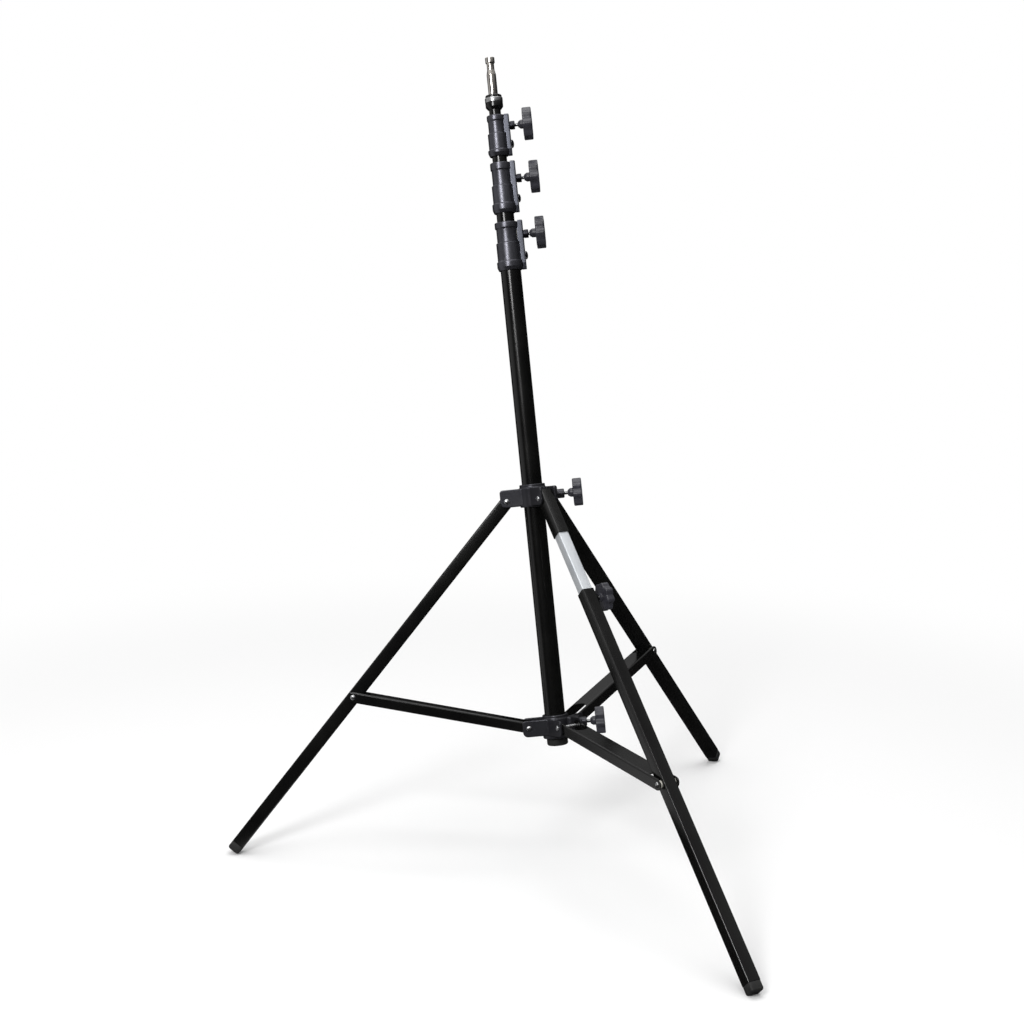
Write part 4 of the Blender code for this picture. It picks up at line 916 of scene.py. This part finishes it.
def strut_surface(length, along=60):
    """Section (y, z) of outer and inner side, and for each point x from start to end.

    On a wall, x starts at -sqrt(R^2 - z^2) and ends at length + sqrt(R^2 - z^2), R the half height.
    On the closed side it starts at the U notch, a half circle of the slot's half width.
    """
    def half_section(half, high, bend):
        return rounded([(half, -STRUT_HIGH, 0), (half, high, bend), (0, high, 0)], 10)

    outer = half_section(STRUT_HALF, STRUT_HIGH, 3.2 * MM)
    inner = half_section(STRUT_HALF - SHEET, STRUT_HIGH - SHEET, 1.2 * MM)
    lip = STRUT_HALF - SHEET - STRUT_LIP

    def resample(chain):
        """Even points up the wall, the bend's own points, then even points across the top."""
        wall = np.linspace(chain[0], chain[1], WALL_POINTS)[:-1]
        width, high = chain[-2][0], chain[-1][1]
        top = np.stack([np.linspace(width, 0, TOP_POINTS), np.full(TOP_POINTS, high)], -1)[1:]
        return np.concatenate([wall, chain[1:-1], top])

    outer, inner = resample(outer), resample(inner)
    mirror = np.array([-1, 1])
    outer = np.concatenate([outer, (outer * mirror)[::-1][1:]])
    inner = np.concatenate([inner, (inner * mirror)[::-1][1:]])

    def start_of(section):
        y, z = np.abs(section[:, 0]), section[:, 1]
        wall = -np.sqrt(np.maximum(0, STRUT_HIGH**2 - z**2))
        notch = STRUT_NOTCH - lip + np.sqrt(np.maximum(0, lip**2 - y**2))
        return np.where(y < lip, notch, wall)

    def end_of(section):
        y, z = np.abs(section[:, 0]), section[:, 1]
        wall = length + np.sqrt(np.maximum(0, STRUT_HIGH**2 - z**2))
        return np.where(y < lip, length - STRUT_LEG_CUT, wall)

    start, end = start_of(outer), end_of(outer)
    share = np.linspace(0, 1, along)[:, None]
    x = start + (end - start) * share
    count = len(outer)
    top = np.stack([x, x * 0 + outer[:, 0], x * 0 + outer[:, 1]], -1).reshape(-1, 3)
    under = np.stack([x, x * 0 + inner[:, 0], x * 0 + inner[:, 1]], -1).reshape(-1, 3)
    faces = [quads(along, count, wrap_columns=False)]
    faces.append(quads(along, count, wrap_columns=False, first=along * count))
    step = np.arange(count - 1)
    for row in (0, along - 1):
        a = row * count + step
        faces.append(np.stack([a, a + 1, a + 1 + along * count, a + along * count], -1))
    step = np.arange(along - 1) * count
    for column in (0, count - 1):
        a = step + column
        faces.append(np.stack([a, a + count, a + count + along * count, a + along * count], -1))
    return np.concatenate([top, under]), np.concatenate(faces).tolist()


for leg, place in STRUT.items():
    made = piece(leg + "_strut_folded", strut_surface(STRUT_LENGTH[leg]), place, POWDER_BLACK,
                 leg + "_strut", "satin_black", leg + "_strut", sharp=30)
    print(made.name, round(STRUT_LENGTH[leg] * 1000, 1), "mm between pivots")

# %% [markdown]
# The legs are square steel tube, 22 mm across, with the small corner radius that rolling gives. A
# rounded square is four quarter circles joined by straight sides. It is swept down the leg
# outside, turned in at the end and swept back up inside, so the wall shows where the tube ends.

# %% Legs
LEG_SIDE, LEG_CORNER = 22.0 * MM, 2.5 * MM
CORNER_POINTS = 6
LOOP = 4 * CORNER_POINTS


def rounded_square(side, corner):
    """A closed loop: corner centres at side / 2 - corner, and a quarter circle about each."""
    start = np.arange(4)[:, None] * np.pi / 2
    t = start + np.linspace(0, np.pi / 2, CORNER_POINTS)[None, :]
    sign_x = np.array([1, -1, -1, 1])[:, None]
    sign_y = np.array([1, 1, -1, -1])[:, None]
    middle = side / 2 - corner
    return np.stack([sign_x * middle + corner * np.cos(t), sign_y * middle + corner * np.sin(t)],
                    -1).reshape(-1, 2)


def square_stack(loops):
    """Rounded squares given as (side, corner, height), as the rows of one grid of points."""
    return np.concatenate([
        np.c_[rounded_square(side, min(corner, side / 2 - 1e-5)), np.full(LOOP, height)]
        for side, corner, height in loops
    ])


def square_tube(side, corner, top, foot):
    """A square tube's wall from top to foot, both measured down the leg from the upper pivot."""
    rim = 0.3 * MM
    loops = [
        (side - 2 * rim, corner, -top), (side, corner, -top - rim), (side, corner, -foot + rim),
        (side - 2 * rim, corner, -foot), (side - 2 * WALL, corner / 2, -foot),
        (side - 2 * WALL, corner / 2, -top),
    ]
    return square_stack(loops), quads(len(loops), LOOP, wrap_rows=True)


def below(node, place):
    """How far down the leg a CAD node ends, and how far down it starts."""
    mesh = frame["nodes"][node].data
    flat = np.zeros(len(mesh.vertices) * 3)
    mesh.vertices.foreach_get("co", flat)
    z = (flat.reshape(-1, 3) - place[:3, 3]) @ place[:3, 2]
    return -z.max(), -z.min()


for leg in ("left", "back"):
    top, foot = below(leg + "_leg_tube", LEG[leg])
    piece(leg + "_leg_rolled", square_tube(LEG_SIDE, LEG_CORNER, top, foot), LEG[leg],
          POWDER_BLACK, leg + "_leg", "satin_black", leg + "_leg_tube")
    print(leg, "leg tube", round((foot - top) * 1000), "mm long")

# %% [markdown]
# The levelling leg has three tubes. A short black sleeve hangs from the collar, a bright tube runs
# from it down inside the long black tube, and a knob on a boss near the top of the long tube locks
# the two. The bright part shows because the leg is drawn out.

# %% Levelling leg
top, foot = below("front_leg_sleeve", LEG["front"])
piece("front_leg_sleeve_rolled", square_tube(LEG_SIDE, LEG_CORNER, top, foot), LEG["front"],
      POWDER_BLACK, "front_leg", "satin_black", "front_leg_sleeve")
top, foot = below("front_leg_inner_tube", LEG["front"])
piece("front_leg_inner_tube_drawn", square_tube(18.4 * MM, 1.8 * MM, top, foot), LEG["front"],
      DRAWN, "front_leg", "bright_steel", "front_leg_inner_tube")
top, foot = below("front_leg_lower_tube", LEG["front"])
boss = rounded([
    (3.3 * MM, 16.5 * MM, 0), (6.5 * MM, 16.5 * MM, 0.8 * MM), (6.5 * MM, 11.4 * MM, 0.8 * MM),
    (8.0 * MM, 10.4 * MM, 0), (3.3 * MM, 10.4 * MM, 0),
])
boss_points, boss_faces = turned(boss, 48, ring=True)
boss_place = np.linalg.inv(LEG["front"]) @ knob_frame("levelling_knob_turn")
shell = joined(square_tube(LEG_SIDE, LEG_CORNER, top, foot),
               (placed(boss_points, boss_place), boss_faces))
piece("front_leg_lower_tube_rolled", shell, LEG["front"], POWDER_BLACK, "front_leg_lower",
      "satin_black", "front_leg_lower_tube")
print("lower tube starts", round(top * 1000), "mm below the upper pivot")

# %% [markdown]
# Each leg ends in a rubber cap that plugs into the tube. Its end is rounded, so that the leg can
# stand at any angle, and it has worn flat where it meets the floor. The cap is a stack of rounded
# squares that shrink over a quarter circle at the end. The wear is one line: no point may lie
# below the floor.

# %% Feet
FOOT_CAP, FOOT_PLUG, FOOT_ROUND = 15.0 * MM, 22.0 * MM, 4.0 * MM


def foot_surface(end):
    """Loops from the plug down to the cap's end, at distance end down the leg."""
    t = np.linspace(0, np.pi / 2, 9)
    shrink = FOOT_ROUND * (1 - np.cos(t))
    drop = FOOT_ROUND * (1 - np.sin(t))
    plug = LEG_SIDE - 3.6 * MM
    loops = [(plug - 2 * MM, 1.0 * MM, -end + FOOT_CAP + FOOT_PLUG),
             (plug, 1.8 * MM, -end + FOOT_CAP + FOOT_PLUG - 1.5 * MM),
             (plug, 1.8 * MM, -end + FOOT_CAP), (LEG_SIDE - 1.0 * MM, 3.0 * MM, -end + FOOT_CAP),
             (LEG_SIDE, FOOT_ROUND, -end + FOOT_CAP - 0.6 * MM),
             (LEG_SIDE, FOOT_ROUND, -end + 8.0 * MM)]
    loops += [(LEG_SIDE - 2 * s, FOOT_ROUND, -end + d) for s, d in zip(shrink, drop)]
    inner = LEG_SIDE - 2 * FOOT_ROUND
    loops += [(inner * share, FOOT_ROUND * share, -end) for share in (0.85, 0.65, 0.45, 0.25, 0.1)]
    return capped(square_stack(loops), LOOP, (0, 0, loops[0][2]), (0, 0, -end))


for leg, body in (("left", "left_leg"), ("back", "back_leg"), ("front", "front_leg_lower")):
    tube = "front_leg_lower_tube" if leg == "front" else leg + "_leg_tube"
    end = below(tube, LEG[leg])[1] + FOOT_CAP + 0.3 * MM
    points, faces = foot_surface(end)
    points = placed(points, LEG[leg])
    points[:, 2] = np.maximum(points[:, 2], 0.0)
    piece(leg + "_foot_moulded", (points, faces), np.eye(4), RUBBER, body, "rubber",
          leg + "_foot", sharp=50)
    print(leg, "foot reaches down to", round(points[:, 2].min() * 1000, 2), "mm")

# %% [markdown]
# The column's lower end is closed by a rubber plug with a rounded rim.

# %% End plug
plug = rounded([
    (0, -9.0 * MM, 0), (15.7 * MM, -9.0 * MM, 0.8 * MM), (15.7 * MM, -23.0 * MM, 0),
    (18.0 * MM, -23.0 * MM, 0.4 * MM), (18.0 * MM, -35.0 * MM, 4.0 * MM), (0, -35.0 * MM, 0),
], 8)
piece("base_end_plug_moulded", turned(plug), STAND, RUBBER, "column", "rubber", "base_end_plug")
print("plug ends 35 mm below the lower pivots")

# %% [markdown]
# Riveted pins hold every pivot. Their bright domed heads are small, but they are what the eye
# finds on a black stand. A full pin has a head at either end. The upper pivots and the
# levelling leg's knee show only heads, because there the pin is in two halves.

# %% Pivot pins
HEAD_R, HEAD_RISE, PIN_R = 4.6 * MM, 2.0 * MM, 3.0 * MM


def full_pin(half):
    """A pin along Z with a head beyond each shoulder, at half from the middle."""
    top = dome(HEAD_R, HEAD_RISE, half)
    rows = np.concatenate([top, [(PIN_R, half)], [(PIN_R, -half)], (top * [1, -1])[::-1]])
    return turned(rows, 40)


def two_heads(half):
    """Only the heads, each closed by a disc just under its shoulder."""
    rows = np.concatenate([dome(HEAD_R, HEAD_RISE, half), [(HEAD_R, half - 0.3 * MM)],
                           [(0, half - 0.3 * MM)]])
    points, faces = turned(rows, 40)
    return joined((points, faces), (points * [1, -1, -1], faces))


sideways = np.array([[1, 0, 0, 0], [0, 0, 1, 0], [0, -1, 0, 0], [0, 0, 0, 1.0]])
for leg, azimuth in LEG_AZIMUTHS.items():
    low = STAND @ turn_z(azimuth) @ shift(x=PIVOT_RADIUS) @ sideways
    high = STAND @ turn_z(azimuth) @ shift(x=PIVOT_RADIUS, z=COLLAR_SPACING) @ sideways
    knee = STRUT[leg] @ shift(x=STRUT_LENGTH[leg]) @ sideways
    piece(leg + "_lower_pin_riveted", full_pin(22.0 * MM), low, ZINC, "lower_collar",
          "bright_steel", leg + "_lower_pivot_pin")
    piece(leg + "_upper_pin_heads", two_heads(15.5 * MM), high, ZINC, "upper_collar",
          "bright_steel")
    if leg == "front":
        piece("front_knee_pin_heads", two_heads(17.8 * MM), knee, ZINC, "front_strut",
              "bright_steel")
    else:
        piece(leg + "_knee_pin_riveted", full_pin(17.8 * MM), knee, ZINC, leg + "_strut",
              "bright_steel", leg + "_knee_pin")
print("three pivots on each collar, three knees")

# %% [markdown]
# The shoes, guide bushes and spacer bushes are right as the solids have them, so those stay and
# only get their finish: natural nylon, the pale plastic that slides well on paint.

# %% Inner pieces
INNER = [name for name in frame["nodes"] if name.endswith(("_shoe", "_bush"))]
for name in INNER:
    frame["nodes"][name].data.materials.clear()
    frame["nodes"][name].data.materials.append(NYLON_PALE)
print("finished", len(INNER), "inner pieces")

# %% [markdown]
# The photograph has a white ground, and its light comes from a tall soft box at the left of the
# camera. The world is white to the camera. To a glossy surface it is a studio: dark near the
# horizon, white higher up, dimmer overhead and to the right, with a dim wall at the far left. So
# a black tube mirrors the soft box as one bright streak, stays dark grey to the left of it and
# black to the right.
# The floor is an ordinary pale surface near the stand, where it takes soft shadows. Further out it
# turns by degrees into the same white as the world, so that no edge shows. To a glossy surface it
# is dark, but for the part below the wall at the far left, because tubes that mirror a white floor
# are grey all over.

# %% Floor and light
ROOM_LIGHT = 0.58
ROOM_LEFT, ROOM_RIGHT, ROOM_LOW, ROOM_TOP = 0.46, 0.40, 0.02, 0.50
# Where each change of the room starts and ends, as X or Z of the direction looked in.
LEFT_WALL_ENDS, SIDES = (-0.95, -0.80), (-0.10, 0.50)
RISE, CEILING = (0.28, 0.60), (0.60, 0.85)
FLOOR_GLOW, FLOOR_REACH = 0.06, 40.0
FADE_START, FADE_END = 0.9, 2.2


def camera_white(tree):
    """1 for camera, glossy and transmission rays, 0 for the others."""
    rays = add_node(tree, "ShaderNodeLightPath").outputs
    seen = combined(tree, "MAXIMUM", rays["Is Camera Ray"], rays["Is Glossy Ray"])
    return combined(tree, "MAXIMUM", seen, rays["Is Transmission Ray"])


world = bpy.data.worlds.new("studio")
world.use_nodes = True
bpy.context.scene.world = world
tree = world.node_tree
background = tree.nodes["Background"]
background.inputs["Color"].default_value = linear("#ffffff")
rays = add_node(tree, "ShaderNodeLightPath").outputs
looked = add_node(tree, "ShaderNodeTexCoord").outputs["Generated"]
direction = add_node(tree, "ShaderNodeSeparateXYZ", {"Vector": looked}).outputs
left_wall = spread(tree, direction["X"], ROOM_LEFT, 0.0, *LEFT_WALL_ENDS)
rise = spread(tree, direction["Z"], ROOM_LOW, 1.0, *RISE)
ceiling = spread(tree, direction["Z"], 1.0, ROOM_TOP, *CEILING)
sides = spread(tree, direction["X"], 1.0, ROOM_RIGHT, *SIDES)
front = combined(tree, "MULTIPLY", combined(tree, "MULTIPLY", rise, ceiling), sides)
room = combined(tree, "MAXIMUM", left_wall, front)
mirrored = combined(tree, "MAXIMUM", rays["Is Glossy Ray"], rays["Is Transmission Ray"])
lit = add_node(
    tree, "ShaderNodeMix", {"Factor": mirrored, "B": room}, {"A": ROOM_LIGHT}).outputs[0]
seen = add_node(
    tree, "ShaderNodeMix", {"Factor": rays["Is Camera Ray"], "A": lit}, {"B": 1.0}).outputs[0]
tree.links.new(seen, background.inputs["Strength"])

floor_material = bpy.data.materials.new("floor_white")
floor_material.use_nodes = True
tree = floor_material.node_tree
shader = tree.nodes["Principled BSDF"]
shader.inputs["Base Color"].default_value = linear("#f4f4f4")
shader.inputs["Roughness"].default_value = 0.9
shader.inputs["Specular IOR Level"].default_value = 0.0
shader.inputs["Emission Color"].default_value = linear("#ffffff")
tree.links.new(spread(tree, camera_white(tree), 0.0, FLOOR_GLOW, 0.0, 1.0),
               shader.inputs["Emission Strength"])
place = add_node(tree, "ShaderNodeTexCoord").outputs["Object"]
far = add_node(tree, "ShaderNodeVectorMath", {0: place}, operation="LENGTH")
fade = add_node(
    tree, "ShaderNodeMapRange", {"Value": far.outputs["Value"]},
    {"From Min": FADE_START, "From Max": FADE_END},
    interpolation_type="SMOOTHERSTEP").outputs[0]
white = add_node(tree, "ShaderNodeEmission", {"Strength": camera_white(tree)})
blend = add_node(
    tree, "ShaderNodeMixShader", {0: fade, 1: shader.outputs[0], 2: white.outputs[0]}).outputs[0]
heading = add_node(tree, "ShaderNodeVectorMath", {0: place}, operation="NORMALIZE").outputs[0]
heading = add_node(tree, "ShaderNodeSeparateXYZ", {"Vector": heading}).outputs["X"]
mirror_floor = add_node(
    tree, "ShaderNodeEmission",
    {"Strength": spread(tree, heading, ROOM_LEFT, ROOM_LOW, *LEFT_WALL_ENDS)})
glossy = add_node(tree, "ShaderNodeLightPath").outputs["Is Glossy Ray"]
blend = add_node(
    tree, "ShaderNodeMixShader", {0: glossy, 1: blend, 2: mirror_floor.outputs[0]}).outputs[0]
tree.links.new(blend, tree.nodes["Material Output"].inputs["Surface"])
floor_mesh = bpy.data.meshes.new("floor")
floor_mesh.from_pydata(
    [(x * FLOOR_REACH, y * FLOOR_REACH, 0) for x, y in ((-1, -1), (1, -1), (1, 1), (-1, 1))], [],
    [(0, 1, 2, 3)])
floor_mesh.materials.append(floor_material)
floor = bpy.data.objects.new("floor", floor_mesh)
bpy.context.scene.collection.objects.link(floor)


def soft_lamp(name, place, aim, width, height, power):
    """A rectangular area lamp at a place, turned to an aim; metres and watts."""
    lamp = bpy.data.lights.new(name, "AREA")
    lamp.shape = "RECTANGLE"
    lamp.size, lamp.size_y = width, height
    lamp.energy = power
    obj = bpy.data.objects.new(name, lamp)
    obj.location = place
    obj.rotation_euler = (Vector(aim) - Vector(place)).to_track_quat("-Z", "Y").to_euler()
    bpy.context.scene.collection.objects.link(obj)


soft_lamp("soft_box_left", place=(-0.98, -2.70, 2.40), aim=(0.1, 0, 1.2), width=0.8,
          height=1.25, power=56.0)
soft_lamp("top", place=(0.1, 0.3, 3.4), aim=(0.1, 0, 0.0), width=2.4, height=2.4, power=42.0)
bpy.context.scene.view_settings.view_transform = "Standard"
print(len(bpy.data.lights), "soft lamps and a white world")
